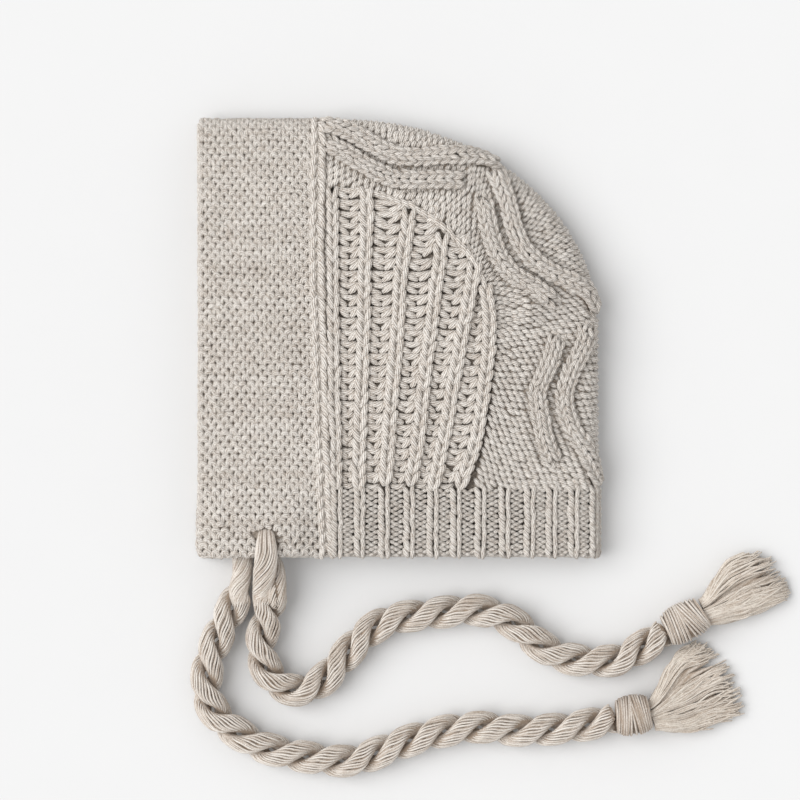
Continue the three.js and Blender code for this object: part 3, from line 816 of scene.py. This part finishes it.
class BONNET_OT_fans(bpy.types.Operator):
    """Side fans: ribs that spread from the neck up to the arc, with purl rows in the hollows between them"""

    bl_idname = "bonnet.fans"
    bl_label = "Side fans"

    def execute(self, context):
        knitting = context.scene.bonnet_knitting
        material = wool(knitting)
        for side, node in ((1, "side_fan_near"), (-1, "side_fan_far")):
            strands = Strands(knitting.seed + 20 + side)
            for k, rib in enumerate(FAN_RIBS):
                column(strands, side, smooth_line(rib, 2), 4.75, 6.1 if k else 5.3, 1.3 if k else 1.14, 1.2)
            self.hollows(strands, side)
            self.arc(strands, side)
            knit(node + "_stitches", strands, material, 7 if side > 0 else 5, node, fullness=knitting.fullness)
            slab(node + "_body", fan_region, (side,), 24, 24, backing_material(knitting.inside, 0.7), node, 1.9)
        return {"FINISHED"}

    @staticmethod
    def hollows(strands, side):
        """Between two ribs each row swings down from both ribs to the middle of the hollow."""
        outline = np.array(FAN_OUTLINE)
        t = np.linspace(-1, 1, 9)
        for rib in range(len(FAN_RIBS) - 1):
            top = min(FAN_RIBS[rib][0][1], ROUND_Y + FAN_HIGH)
            for row, y in enumerate(np.arange(RIB_Y + 1.6, top + 1.2, 2.36)):
                left, right = fan_rib_at(rib, y) + 2.2, fan_rib_at(rib + 1, y) - 2.2
                middle, half = (left + right) / 2, (right - left) / 2
                roof = np.interp(middle, outline[:40, 0], outline[:40, 1])
                if y > roof + 0.4 or half < 0.8:
                    continue
                sink = -0.5 - 0.9 * (1 - ease(half, 1.5, 4.5))
                if row % 2:
                    BONNET_OT_fans.arms(strands, side, middle, y, half, sink)
                    continue
                drop = min(0.6, 0.2 * half)
                lift = sink - 0.1 - 1.6 * np.abs(t) ** 4
                shape = np.stack([(half + 0.2) * t, drop * (2 * np.abs(t) ** 2 - 1), lift], 1)
                shape, radius = thinned(shape, 1.24 * (1 - 0.35 * t**4), side)
                strands.stitches(side, [(middle, y + 0.25)], 0.0, shape, radius, jitter=0.15)

    @staticmethod
    def arc(strands, side):
        """Long stitches side by side under the arc, where the ribs end."""
        at, heading, _ = polyline(FAN_OUTLINE)
        places = np.arange(14.0, 88.0, 3.0)
        inward = heading(places) - np.pi / 2
        middle = at(places) + 1.35 * np.stack([np.cos(inward), np.sin(inward)], 1)
        shape, radius = thinned(leg_shape((-2.3, 0.8), (2.3, -0.7), arch=1.3, bow=0.3), leg_radius(1.25), side)
        strands.stitches(side, middle, heading(places), shape, radius, height=0.2, jitter=0.25)

    @staticmethod
    def arms(strands, side, middle, y, half, sink):
        """Two arms that come down from the ribs and meet in the hollow."""
        drop = min(1.7, 0.35 * half + 0.7)
        drop *= strands.random.uniform(0.8, 1.15)
        for hand in (-1, 1):
            shoulder, foot = (hand * (half + 0.6), drop), (hand * 0.45, -drop)
            shape = leg_shape(shoulder, foot, 7, 1.1, bow=hand * 0.25)
            shape[:, 2] += sink + 0.35
            shape, radius = thinned(shape, leg_radius(1.3, 7), side)
            strands.stitches(side, [(middle, y + 0.8)], strands.random.normal(0, 0.06), shape, radius, jitter=0.25)


CABLE_LINES = [smooth_line(cable, 1.0) for cable in CABLES]

# Where each course of the crown's ground starts on the fan's arc and ends on the fold, as parts of their lengths.
COURSE_IN = (0, 0.15, 0.25, 0.35, 0.4, 0.61, 1)
COURSE_OUT = (0, 0.109, 0.176, 0.235, 0.265, 0.69, 1)
COURSES = 94
CROWDED = 1.35  # courses closer than this at the arc give way to every other one
CABLE_HALF = 1.78  # from a cable's middle to the middle of each of its columns
CABLE_PITCH = 3.5


def cable_distance(plan):
    """How far each point lies from the nearest cable's middle line."""
    return np.min([np.sqrt(((plan[:, None, :] - line[None, 4:-4]) ** 2).sum(2)).min(1) for line in CABLE_LINES], 0)


class BONNET_OT_crown(bpy.types.Operator):
    """Crown panel: a purl ground that runs round the fan, with three pairs of waving cables"""

    bl_idname = "bonnet.crown"
    bl_label = "Crown panel"

    def execute(self, context):
        knitting = context.scene.bonnet_knitting
        material = wool(knitting)
        for side, name in ((1, "crown_near"), (-1, "crown_far")):
            # The ground's yarns are painted lighter, as painted light on the crown.
            ground = Strands(knitting.seed + 40 + side, 0.45)
            self.ground(ground, side)
            cables = Strands(knitting.seed + 60 + side)
            for cable in CABLES:
                self.cable(cables, side, smooth_line(cable, 1.5))
            sides = 6 if side > 0 else 4
            for part, strands in (("_ground", ground), ("_cables", cables)):
                knit(name + part, strands, material, sides, "crown_panel", fullness=knitting.fullness)
        slab("crown_body", crown_region, (1, -1), 66, 20, backing_material(knitting.inside, 1.25), "crown_panel")
        return {"FINISHED"}

    @staticmethod
    def ground(strands, side):
        """Courses run from the fan's arc out to the fold. Where they crowd at the arc, every other one starts
        further out. Their purl bumps lie along them, a little across."""
        t = np.linspace(-1, 1, 7)
        shape = np.stack([1.55 * t, -0.72 * np.sin(t * np.pi / 2), 0.2 - 1.6 * np.abs(t) ** 2.2], 1)
        for course in range(COURSES):
            w = (course + np.array([0, 0.5, 1])) / COURSES
            ends = fan_at(np.interp(w, COURSE_OUT, COURSE_IN) * FAN_LENGTH), outer_at(w * OUTER_LENGTH)
            inner, outer = ends[0][1], ends[1][1]
            reach = np.linalg.norm(outer - inner)
            ahead = (outer - inner) / reach
            gaps = [abs(ahead[0] * (end[2, 1] - end[0, 1]) - ahead[1] * (end[2, 0] - end[0, 0])) for end in ends]
            s = np.linspace(0, 1, 24)
            path = inner + (outer - inner) * s[:, None]
            path[:, 1] -= 5.0 * float(ease(w[1], 0.7, 0.88)) * (1 - np.exp(-s * reach / 9))
            at, heading, length = polyline(path)
            along = np.arange(0.9 + 1.3 * (course % 2), length, 2.6)
            along = along[(cable_distance(at(along)) > 2.7) & (at(along)[:, 1] > RIB_Y + 0.6)]
            wide = lerp(*gaps, along / length)
            crowded = wide < CROWDED
            if course % 2:
                along, wide = along[~crowded], wide[~crowded]
            else:
                wide = np.where(crowded, 2 * wide, wide)
            stitch, thick = thinned(shape, 1 - 0.3 * t**4, side)
            thick = np.outer(np.clip(0.46 * wide, 0.8, 1.15), thick)
            height = -1.5 + 1.2 * ease(cable_distance(at(along)), 3.8, 6.0)
            strands.stitches(side, at(along), heading(along), stitch, thick, (1, wide / 2.3), height, jitter=0.2)

    @staticmethod
    def cable(strands, side, line):
        """Two columns of knit stitches side by side, raised over the ground."""
        at, heading, length = polyline(line)
        steps = np.arange(0, length, 1.0)
        turn = heading(steps)
        across = np.stack([-np.sin(turn), np.cos(turn)], 1)
        for column_side in (-1, 1):
            path = at(steps) + across * column_side * CABLE_HALF
            path_at, path_heading, path_length = polyline(path)
            strands.add([on_cloth(path[3:-3], 0.5, side)], [1.5])
            places = np.arange(0.4 if column_side > 0 else 2.2, path_length - 0.6, CABLE_PITCH)
            ends = ease(places, 0, 4) * ease(path_length - places, 0, 4)
            for hand in (-1, 1):
                outside = hand == column_side
                shoulder = (-CABLE_PITCH * 0.56, hand * (1.42 if outside else 1.3))
                foot = (CABLE_PITCH * 0.58, hand * 0.1)
                shape = leg_shape(shoulder, foot, arch=0.6, bow=hand * 0.22)
                shape, radius = thinned(shape, leg_radius(0.98), side)
                level = lerp(-0.6, 1.8 if outside else 2.5, ends)
                uneven = strands.random.normal(0, 0.08, len(places))
                strands.stitches(
                    side, path_at(places), path_heading(places) + uneven, shape, radius, height=level, jitter=0.12
                )


class BONNET_OT_neck_rib(bpy.types.Operator):
    """Neck rib: ridges of knit stitches with purl hollows between them, up to the fan and the crown"""

    bl_idname = "bonnet.neck_rib"
    bl_label = "Neck rib"

    def execute(self, context):
        knitting = context.scene.bonnet_knitting
        material = wool(knitting)
        for side, name in ((1, "neck_rib_near"), (-1, "neck_rib_far")):
            strands = Strands(knitting.seed + 80 + side)
            for x in NECK_RIBS:
                self.rib(strands, side, [(x, RIB_Y + 0.6), (x, NECK_Y + 0.4)])
            self.hollows(strands, side)
            edge_row(strands, side, (band_edge(NECK_Y), NECK_Y), (BACK_END, NECK_Y), 3.3, (0, 1), 1.05)
            knit(name, strands, material, 6 if side > 0 else 5, "neck_rib", fullness=knitting.fullness)
        slab("neck_rib_body", rib_region, (1, -1), 40, 10, backing_material(knitting.inside, 0.5), "neck_rib", 2.2)
        return {"FINISHED"}

    @staticmethod
    def rib(strands, side, line):
        """A ridge down the outer face, and a short one up the inner face from the neck edge."""
        at, heading, length = polyline(line)
        for inside in (False, True):
            reach = 10 if inside else length
            places = np.arange(length - reach + 1.0, length, 2.45)
            for shoulder, foot, thick in (((-1.6, -1.85), (1.7, -0.2), 1.12), ((-2.1, 1.6), (2.1, 1.3), 1.0)):
                layer = -1 if inside else side
                shape, radius = thinned(leg_shape(shoulder, foot, 7), leg_radius(thick, 7), layer)
                strands.stitches(
                    side, at(places), heading(places), shape, radius, height=0.9, jitter=0.16, inside=inside
                )

    @staticmethod
    def hollows(strands, side):
        """Between two ribs the purl bumps lie in three columns, each half a row along from the next."""
        t = np.linspace(-1, 1, 7)
        for left, right in zip(NECK_RIBS, NECK_RIBS[1:]):
            middle, half = (left + right) / 2, (right - left) / 2 - 2.4
            rows = np.arange(NECK_Y + 1.6, RIB_Y - 0.2, 2.04)
            for across in (-1, 0, 1):
                y = rows + (1.02 if across else 0)
                shape = np.stack([1.5 * t, 0.12 * across * t, 0.5 - 0.35 * abs(across) - 0.6 * t**2], 1)
                shape, radius = thinned(shape, 0.88 * (1 - 0.7 * np.abs(t) ** 1.4), side)
                lean = across * 0.3 * (1 - 2 * (np.arange(len(y)) % 2)) + strands.random.normal(0, 0.08, len(y))
                x = np.full(len(y), middle + across * 0.66 * half)
                strands.stitches(side, np.stack([x, y], 1), lean, shape, radius, jitter=0.1)


# ---- ties ----

CORD_Z = 6.9
LOOP_TURN = 4.8
PLY_OUT = 3.2  # from a tie's middle to the middle of each ply
PLY_HIGH, PLY_WIDE = 2.95, 4.2
LAY = -1.5  # turns of a ply's yarns about its middle line for each turn of the two plies
START = {"near": -20.0, "far": 90.0}  # where the first ply lies at the start of the tie, up from the side
LOOP_HALF = {"near": 4.7, "far": 4.0}
LOOP_YARNS = 22
NEAR_ROUTE = [
    (-51.6, -103.2, 11.5), (-51.6, -108, 9), (-52.8, -113.6, 7.4), (-55, -120.8), (-54.6, -128), (-51.8, -134.8),
    (-46.2, -140), (-38.6, -141.2), (-31, -137.6), (-23.4, -129.6), (-15.8, -121.2), (-7.4, -114.8), (0.6, -112),
    (8.6, -111.2), (16.6, -110), (24.6, -109.2), (32.6, -109.2), (41.4, -111.6), (49, -116.4), (57, -123.2),
    (65, -127.6), (73, -129.2), (81, -129.6), (88.6, -128.8), (96.2, -124.8), (106.4, -118.2, 7.4),
]
FAR_ROUTE = [
    (-64, -101.2, 7.2), (-65.8, -106.2), (-69, -112.8), (-72.8, -120.8), (-75.8, -128.8), (-77, -136.8),
    (-76.2, -144.8), (-72.2, -152), (-65, -158), (-56.2, -163.2), (-47.4, -166), (-39.4, -167.6), (-31.4, -168.8),
    (-22.6, -169.6), (-14.6, -168.8), (-7, -165.6), (0.6, -162.8), (8.6, -160), (16.6, -158), (24.6, -156.6),
    (32.6, -156), (40.6, -156.6), (48.6, -157.4), (56.6, -157.2), (64.6, -156.6), (72.6, -155.6), (80.6, -154),
    (86, -152.5, 7.4),
]
WRAPS = 15  # turns of yarn round each knot
NEAR_KNOT = dict(x=114.8, y=-113.6, angle=27, length=17, radius=8.2)
FAR_KNOT = dict(x=93.9, y=-151.1, angle=10, length=13.8, radius=8.4)
TASSEL_FILL = 13  # thick strands in the middle of each tassel, painted darker as the shade between the strands
NEAR_TASSEL = dict(x=123.6, y=-109.5, angle=19, rows=[
    (0, 5, 4.6, 9.5), (3, 7.6, 5.6, 10.5), (7, 12, 6.5, 11.5), (14, 17.2, 7.3, 11), (21, 18.6, 7.5, 9.5),
    (27, 16, 7.2, 7.5), (32, 10.6, 5.4, 5), (34.6, 3, 3, 2.6),
])
FAR_TASSEL = dict(x=102.2, y=-150.6, angle=23, rows=[
    (0, 4.6, 6, 9.5), (3, 6.6, 8.6, 10.5), (7, 10.4, 11.4, 11), (13, 16, 13.4, 10), (19, 20, 14.8, 8),
    (25, 20.4, 15.6, 6.4), (30, 17.4, 15.8, 5), (34, 12, 12.4, 4), (36.4, 4, 4, 2.4),
])


def route_line(route):
    """The middle line of a tie. Points without a height lie at CORD_Z."""
    return smooth_line([p if len(p) == 3 else (*p, CORD_Z) for p in route])


def unit(v):
    return v / np.linalg.norm(v, axis=-1, keepdims=True)


def frames(line):
    """Sideways and up directions at each point of a line that lies more or less level."""
    ahead = unit(np.gradient(line, axis=0))
    side = unit(np.cross(ahead, (0, 0, 1)))
    return side, np.cross(side, ahead)


def bundle(strands, middle, out, sideways, high, wide, turned, count, thick, reach):
    """Yarns laid round a ply. Only the stretches that come to the surface are kept: those within reach of out."""
    for k in range(count):
        a = 2 * np.pi * k / count + turned
        a = (a + np.pi) % (2 * np.pi) - np.pi
        wobble = strands.random.normal(0, 1, 3)
        s = np.arange(len(middle))
        grow = 1 + 0.02 * wobble[0] * np.sin(s * 0.21 + 9 * wobble[1])
        drift = 0.06 * wobble[2] * np.sin(s * 0.13 + 7 * wobble[0])
        place = (
            middle
            + out * (high * grow * np.cos(a + drift))[:, None]
            + sideways * (wide * grow * np.sin(a + drift))[:, None]
        )
        shown = abs(a) < reach
        cuts = np.flatnonzero(np.diff(shown.astype(int)) != 0) + 1
        cuts = np.unique(np.r_[0, cuts, np.flatnonzero(abs(np.diff(a)) > np.pi) + 1, len(s)])
        for start, end in zip(cuts[:-1], cuts[1:]):
            if shown[start] and end - start > 3:
                fade = np.minimum(np.arange(end - start), np.arange(end - start)[::-1])
                taper = 0.6 + 0.4 * np.clip(fade / 2.0, 0, 1)
                tone = 0.5 + 0.35 * wobble[2]
                strands.add([place[start:end]], [thick * (1 + 0.05 * wobble[1]) * taper], tone)


def core(strands, middle, sideways, high, wide):
    """The hidden yarns of a ply, as three thick lengths side by side, painted dark as the shade in the valleys
    between the yarns.
    """
    inner = np.minimum(high, wide) * 0.82
    spread = np.maximum(wide - inner - 0.3, 0)
    for k in (-1, 0, 1):
        # Painted dark, as the shade in the valleys between the yarns.
        strands.add([middle + sideways * (k * spread)[:, None]], [inner], -1.3)


def plies(line, pitch, start):
    """Middle line and outward and sideways directions of the two plies of a twisted tie."""
    side, up = frames(line)
    steps = np.r_[0, np.cumsum(np.linalg.norm(np.diff(line, axis=0), axis=1))]
    for k in range(2):
        a = math.radians(start) + k * np.pi + 2 * np.pi * steps / pitch
        out = side * np.cos(a)[:, None] + up * np.sin(a)[:, None]
        sideways = up * np.cos(a)[:, None] - side * np.sin(a)[:, None]
        yield line + out * PLY_OUT, out, sideways, a


class BONNET_OT_ties(bpy.types.Operator):
    """Ties: each is a bundle of yarns drawn through an eyelet, doubled and twisted into a two-ply cord"""

    bl_idname = "bonnet.ties"
    bl_label = "Ties"

    def execute(self, context):
        ties = context.scene.bonnet_ties
        material = tie_wool(ties)
        wall = {"near": lambda y: topside(LOOP_X["near"], y) - 2, "far": lambda y: underside(LOOP_X["far"], y) + 2}
        bends = {"near": ((-53.6, -95, 17.6), (-49.8, -93.5, 12.8)), "far": ((-62.6, -94, 11.0), (-62.6, -94, 3.0))}
        for name, route in (("near", NEAR_ROUTE), ("far", FAR_ROUTE)):
            pair = list(plies(route_line(route), ties.pitch / MM, START[name]))
            strands = Strands(ties.seed + len(route))
            thick = ties.yarn / MM / 2
            for middle, out, sideways, a in pair:
                high, wide = np.full(len(middle), PLY_HIGH), np.full(len(middle), PLY_WIDE)
                bundle(strands, middle, out, sideways, high, wide, LAY * (a - a[0]), ties.yarns, thick, 2.3)
                core(strands, middle, sideways, high, wide)
            knit("tie_" + name, strands, material, 5, "tie_cord_" + name)
            loop = Strands(ties.seed + 3 + len(route))
            self.loop(loop, LOOP_X[name], wall[name], [p[0] for p in pair], bends[name], LOOP_HALF[name], thick)
            knit("tie_loop_yarns_" + name, loop, material, 6, "tie_loop_" + name)
        return {"FINISHED"}

    @staticmethod
    def loop(strands, x, wall, middles, bends, half, thick):
        """The doubled end: over the edge, down through the eyelet and back under the cloth to the cord."""
        turn_y = EYELET_Y - LOOP_TURN
        turn = [(x, turn_y + LOOP_TURN * math.cos(a), wall(EYELET_Y) + LOOP_TURN * math.sin(a))
                for a in (1.2, 0.6, 0, -0.6, -1.2)]
        first, second = middles
        points = [
            first[4],
            first[0],
            bends[0],
            (x, NECK_Y + 1, wall(NECK_Y) + LOOP_TURN),
            *turn,
            (x, NECK_Y + 1, wall(NECK_Y) - LOOP_TURN),
            bends[1],
            second[0],
            second[4],
        ]
        path = smooth_line(points, 1.0)
        along = unit(np.gradient(path, axis=0))
        out = unit(np.cross((1.0, 0, 0), along))
        sideways = np.cross(along, out)
        s = np.linspace(0, 1, len(path))
        flat = ease(s, 0.05, 0.26) * (1 - ease(s, 0.74, 0.95))
        high = lerp(3.4, 2.0, flat)
        wide = lerp(3.4, half - 0.5, flat) * (1 - 0.34 * np.exp(-(((s - 0.5) / 0.075) ** 2)))
        turned = 4.4 * (np.clip((s - 0.6) / 0.4, 0, 1) ** 1.4 - np.clip((0.4 - s) / 0.4, 0, 1) ** 1.4)
        bundle(strands, path, out, sideways, high, wide, turned, LOOP_YARNS, thick, 3.2)
        core(strands, path, sideways, high, wide)


class BONNET_OT_knots(bpy.types.Operator):
    """Knots: yarn wound round the end of each tie"""

    bl_idname = "bonnet.knots"
    bl_label = "Knots"

    def execute(self, context):
        ties = context.scene.bonnet_ties
        material = tie_wool(ties)
        for name, knot, leans, tone in (
            ("near", NEAR_KNOT, (0.12, -0.34), 0.1),
            # The far knot is painted darker, as painted shade on it.
            ("far", FAR_KNOT, (0.2, -0.1), -0.8),
        ):
            strands = Strands(ties.seed + 30 + len(name))
            self.wind(strands, knot, leans, tone)
            knit("knot_wound_" + name, strands, material, 6, "knot_" + name)
        return {"FINISHED"}

    @staticmethod
    def wind(strands, knot, leans, tone):
        """Wraps of yarn round a knot, over a body painted dark as the shade between the wraps. leans is how far they
        lean at its start and its end; tone is the wraps' tone, set low on the far knot as painted shade.
        """
        axis = np.array([math.cos(math.radians(knot["angle"])), math.sin(math.radians(knot["angle"])), 0])
        side = np.array([-axis[1], axis[0], 0])
        centre = np.array([knot["x"], knot["y"], knot["radius"] + 0.1])
        half = knot["length"] / 2
        a = np.linspace(0, 2 * np.pi, 41)
        for k in range(WRAPS):
            t = -0.93 + 1.86 * k / (WRAPS - 1)
            lean = lerp(*leans, float(ease(t, -0.25, 0.15))) * (1 - 0.75 * abs(t) ** 3)
            lean += strands.random.normal(0, 0.03)
            at = t + lean * np.cos(a) * knot["radius"] / half * 0.9
            at = np.clip(at, -0.99, 0.99)
            radius = knot["radius"] * (1 - 0.24 * abs(at) ** 2.8) - 0.62 + strands.random.normal(0, 0.07)
            ring = centre + axis * (at * half)[:, None]
            ring = ring + (side * np.cos(a)[:, None] + np.array([0, 0, 1]) * np.sin(a)[:, None]) * radius[:, None]
            strands.add([ring], [0.53], tone + strands.random.normal(0, 0.3))
        s = np.linspace(-0.96, 0.96, 13)
        body = knot["radius"] * (1 - 0.24 * abs(s) ** 2.8) - 1.0
        body[[0, -1]] *= 0.55
        # The body under the wraps is painted dark, as the shade between them.
        strands.add([centre + axis * (s * half)[:, None]], [body], -1.5)


class BONNET_OT_tassels(bpy.types.Operator):
    """Tassels: the loose ends of the ties' yarns, spread into a brush"""

    bl_idname = "bonnet.tassels"
    bl_label = "Tassels"

    def execute(self, context):
        ties = context.scene.bonnet_ties
        material = yarn_material("Tassel wool", ties.tassel, ties.dark, 3.0, 0.15, 0.0001, 0.3, 0.6)
        for name, tassel in (("near", NEAR_TASSEL), ("far", FAR_TASSEL)):
            strands = Strands(ties.seed + 50 + len(name))
            self.brush(strands, tassel, ties.tassel_strands)
            knit("tassel_strands_" + name, strands, material, 5, "tassel_" + name)
        return {"FINISHED"}

    @staticmethod
    def brush(strands, tassel, count):
        """A tassel's strands, over a few thick ones that fill its middle and are painted darker, as the shade
        between the strands. Five at a time bend alike, as a lock.
        Each of the rows is a distance from the knot, the reach to the left and the right, and the thickness."""
        rows = np.array(tassel["rows"], float)
        angle = math.radians(tassel["angle"])
        axis = np.array([math.cos(angle), math.sin(angle), 0])
        left = np.array([-axis[1], axis[0], 0])
        root = np.array([tassel["x"], tassel["y"], 0])
        long = rows[-1, 0]
        steps = np.linspace(0, long, 80)
        random = strands.random
        for k in range(count + TASSEL_FILL):
            inner = k < TASSEL_FILL
            if k % 5 == 0:
                lock = random.uniform(0, math.pi) * (1 if random.random() < 0.75 else -1)
                sway, bend, phase = random.normal(0, 1.0), random.normal(0, 1.0), random.uniform(0, 6)
            deep = math.sqrt(random.uniform(0.55, 1))
            turned = lock + random.normal(0, 0.13)
            f = lerp(-0.8, 0.8, k / (TASSEL_FILL - 1)) if inner else deep * math.cos(turned)
            hand = 1 if f > 0 else 2
            widest = np.maximum.accumulate(rows[:, hand])
            reach, spread = np.interp(steps, rows[:, 0], rows[:, hand]), np.interp(steps, rows[:, 0], widest)
            fits = np.flatnonzero(reach >= abs(f) * spread - 0.3)
            end = steps[fits[-1]] if len(fits) else long * 0.6
            end = end * 0.84 if inner else min(long, end * random.uniform(0.88, 1.03))
            if not inner and random.random() < 0.3:
                end *= random.uniform(0.65, 1)
            s = np.linspace(-1.2, end, 13)
            t = np.clip(s / long, 0, 1)
            lateral = f * np.interp(s, rows[:, 0], widest) * 0.95
            thick = np.interp(s, rows[:, 0], rows[:, 3])
            middle = lerp(8.0, thick / 2 + 0.2, ease(s, 0, 12))
            if inner:
                size = thick * 0.24 * (1 - 0.6 * (s / end).clip(0, 1) ** 3)
                lift = middle
            else:
                g = deep * math.sin(turned)
                lateral = lateral + sway * t**2 + bend * np.sin(s * 0.27 + phase) * np.sqrt(t)
                lateral = lateral + random.normal(0, 0.4) * np.sin(s * 0.5 + random.uniform(0, 6)) * t
                lift = middle + g * (thick / 2 - 0.6) * lerp(0.95, 0.75 + 0.25 * random.random(), t)
                lift = lift + random.normal(0, 0.5) * np.sin(s * 0.3 + random.uniform(0, 6)) * t
                size = random.normal(0.5, 0.05) * (1 - 0.5 * (s / end).clip(0, 1) ** 6)
            place = root + axis * s[:, None] + left * lateral[:, None]
            place[:, 2] = lift
            # The middle strands are painted darker, as the shade between the strands.
            strands.add([place], [size], -0.4 if inner else random.normal(0.4, 0.4))


# ---- stage ----

SENSOR = 36  # width of the camera's sensor, in millimetres
DOME = 7.9  # radius of the backdrop, in metres


class BONNET_OT_stage(bpy.types.Operator):
    """Stage: a pale floor and backdrop, soft light from the left, and the camera straight above"""

    bl_idname = "bonnet.stage"
    bl_label = "Stage"

    def execute(self, context):
        stage = context.scene.bonnet_stage
        scene = context.scene
        camera = bpy.data.objects.new("Camera", bpy.data.cameras.new("Camera"))
        camera.data.lens = stage.lens
        camera.data.sensor_width = SENSOR
        camera.data.clip_start, camera.data.clip_end = 0.1, 20
        camera.location = (0.0006, -0.0248, 0.012 + stage.width * stage.lens / SENSOR)
        scene.collection.objects.link(camera)
        scene.camera = camera
        scene.view_settings.view_transform = "Standard"
        sun = bpy.data.objects.new("Key light", bpy.data.lights.new("Key light", "SUN"))
        sun.data.energy = stage.sun
        sun.data.angle = math.radians(52)
        towards = Vector((-1, 0.08, 1.3))
        sun.rotation_euler = towards.to_track_quat("Z", "Y").to_euler()
        scene.collection.objects.link(sun)
        world = bpy.data.worlds.new("Fill light")
        world.use_nodes = True
        world.node_tree.nodes["Background"].inputs["Strength"].default_value = stage.sky
        world.node_tree.nodes["Background"].inputs["Color"].default_value = (1, 1, 1, 1)
        scene.world = world
        self.floor()
        self.backdrop()
        return {"FINISHED"}

    @staticmethod
    def disc(name, radius, height, sides=64):
        turns = [2 * math.pi * k / sides for k in range(sides)]
        mesh = bpy.data.meshes.new(name)
        rim = [(radius * math.cos(a), radius * math.sin(a), height) for a in turns]
        mesh.from_pydata(rim, [], [list(range(sides))])
        return plain_object(name, mesh)

    def floor(self):
        floor = self.disc("floor", 8.0, -0.0002)
        material, graph = new_material("Pale floor")
        grain = graph.value(
            "ShaderNodeTexNoise", 0, None,
            {"Vector": graph.node("ShaderNodeTexCoord").outputs["Object"], "Scale": 40.0, "Detail": 2.0},
        )
        tone = blend(graph, grain, (0.77, 0.77, 0.77), (0.78, 0.78, 0.78))
        paint = {"Base Color": tone, "Roughness": 0.95, "Specular IOR Level": 0.0}
        shade_with(graph, "ShaderNodeBsdfPrincipled", paint)
        floor.data.materials.append(material)

    def backdrop(self):
        """A dome that only the camera sees, as bright as the floor."""
        rings, sides = 8, 48
        points, faces = [], []
        for r in range(rings + 1):
            a = (math.pi / 2) * r / rings
            for k in range(sides):
                b = 2 * math.pi * k / sides
                wide = DOME * math.cos(a)
                points.append((wide * math.cos(b), wide * math.sin(b), DOME * math.sin(a) - 0.01))
        for r in range(rings):
            for k in range(sides):
                j = (k + 1) % sides
                faces.append((r * sides + k, (r + 1) * sides + k, (r + 1) * sides + j, r * sides + j))
        mesh = bpy.data.meshes.new("backdrop")
        mesh.from_pydata(points, [], faces)
        dome = plain_object("backdrop", mesh)
        material, graph = new_material("Pale backdrop")
        shade_with(graph, "ShaderNodeEmission", {"Color": (0.93, 0.93, 0.93, 1), "Strength": 1.0})
        dome.data.materials.append(material)
        for ray in ("diffuse", "glossy", "transmission", "volume_scatter", "shadow"):
            setattr(dome, "visible_" + ray, False)


PIECES = (
    BONNET_OT_stage,
    BONNET_OT_ties,
    BONNET_OT_knots,
    BONNET_OT_tassels,
    BONNET_OT_band,
    BONNET_OT_fans,
    BONNET_OT_crown,
    BONNET_OT_neck_rib,
)


class BONNET_PT_build(bpy.types.Panel):
    """Lists the pieces of the bonnet"""

    bl_label = "Knitted bonnet"
    bl_idname = "BONNET_PT_build"
    bl_space_type = "VIEW_3D"
    bl_region_type = "UI"
    bl_category = "Bonnet"

    def draw(self, context):
        for piece in PIECES:
            self.layout.operator(piece.bl_idname)
        for group in ("bonnet_knitting", "bonnet_ties", "bonnet_stage"):
            settings = getattr(context.scene, group)
            box = self.layout.box()
            for name in settings.bl_rna.properties.keys():
                if name not in ("rna_type", "name"):
                    box.prop(settings, name)


CLASSES = (BonnetKnitting, BonnetTies, BonnetStage, *PIECES, BONNET_PT_build)


def register():
    for cls in CLASSES:
        bpy.utils.register_class(cls)
    bpy.types.Scene.bonnet_knitting = PointerProperty(type=BonnetKnitting)
    bpy.types.Scene.bonnet_ties = PointerProperty(type=BonnetTies)
    bpy.types.Scene.bonnet_stage = PointerProperty(type=BonnetStage)


def unregister():
    for name in ("bonnet_knitting", "bonnet_ties", "bonnet_stage"):
        delattr(bpy.types.Scene, name)
    for cls in reversed(CLASSES):
        bpy.utils.unregister_class(cls)


def declare_cords():
    """Works out each tie's middle line and reads its first point; nothing is kept or stated."""
    for name, route in (("near", NEAR_ROUTE), ("far", FAR_ROUTE)):
        line = route_line(route) * MM
        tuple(line[0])


def main():
    register()
    bpy.ops.bonnet.stage()
    bpy.ops.bonnet.ties()
    bpy.ops.bonnet.knots()
    bpy.ops.bonnet.tassels()
    declare_cords()
    bpy.ops.bonnet.band()
    bpy.ops.bonnet.fans()
    bpy.ops.bonnet.crown()
    bpy.ops.bonnet.neck_rib()


if __name__ == "__main__":
    main()
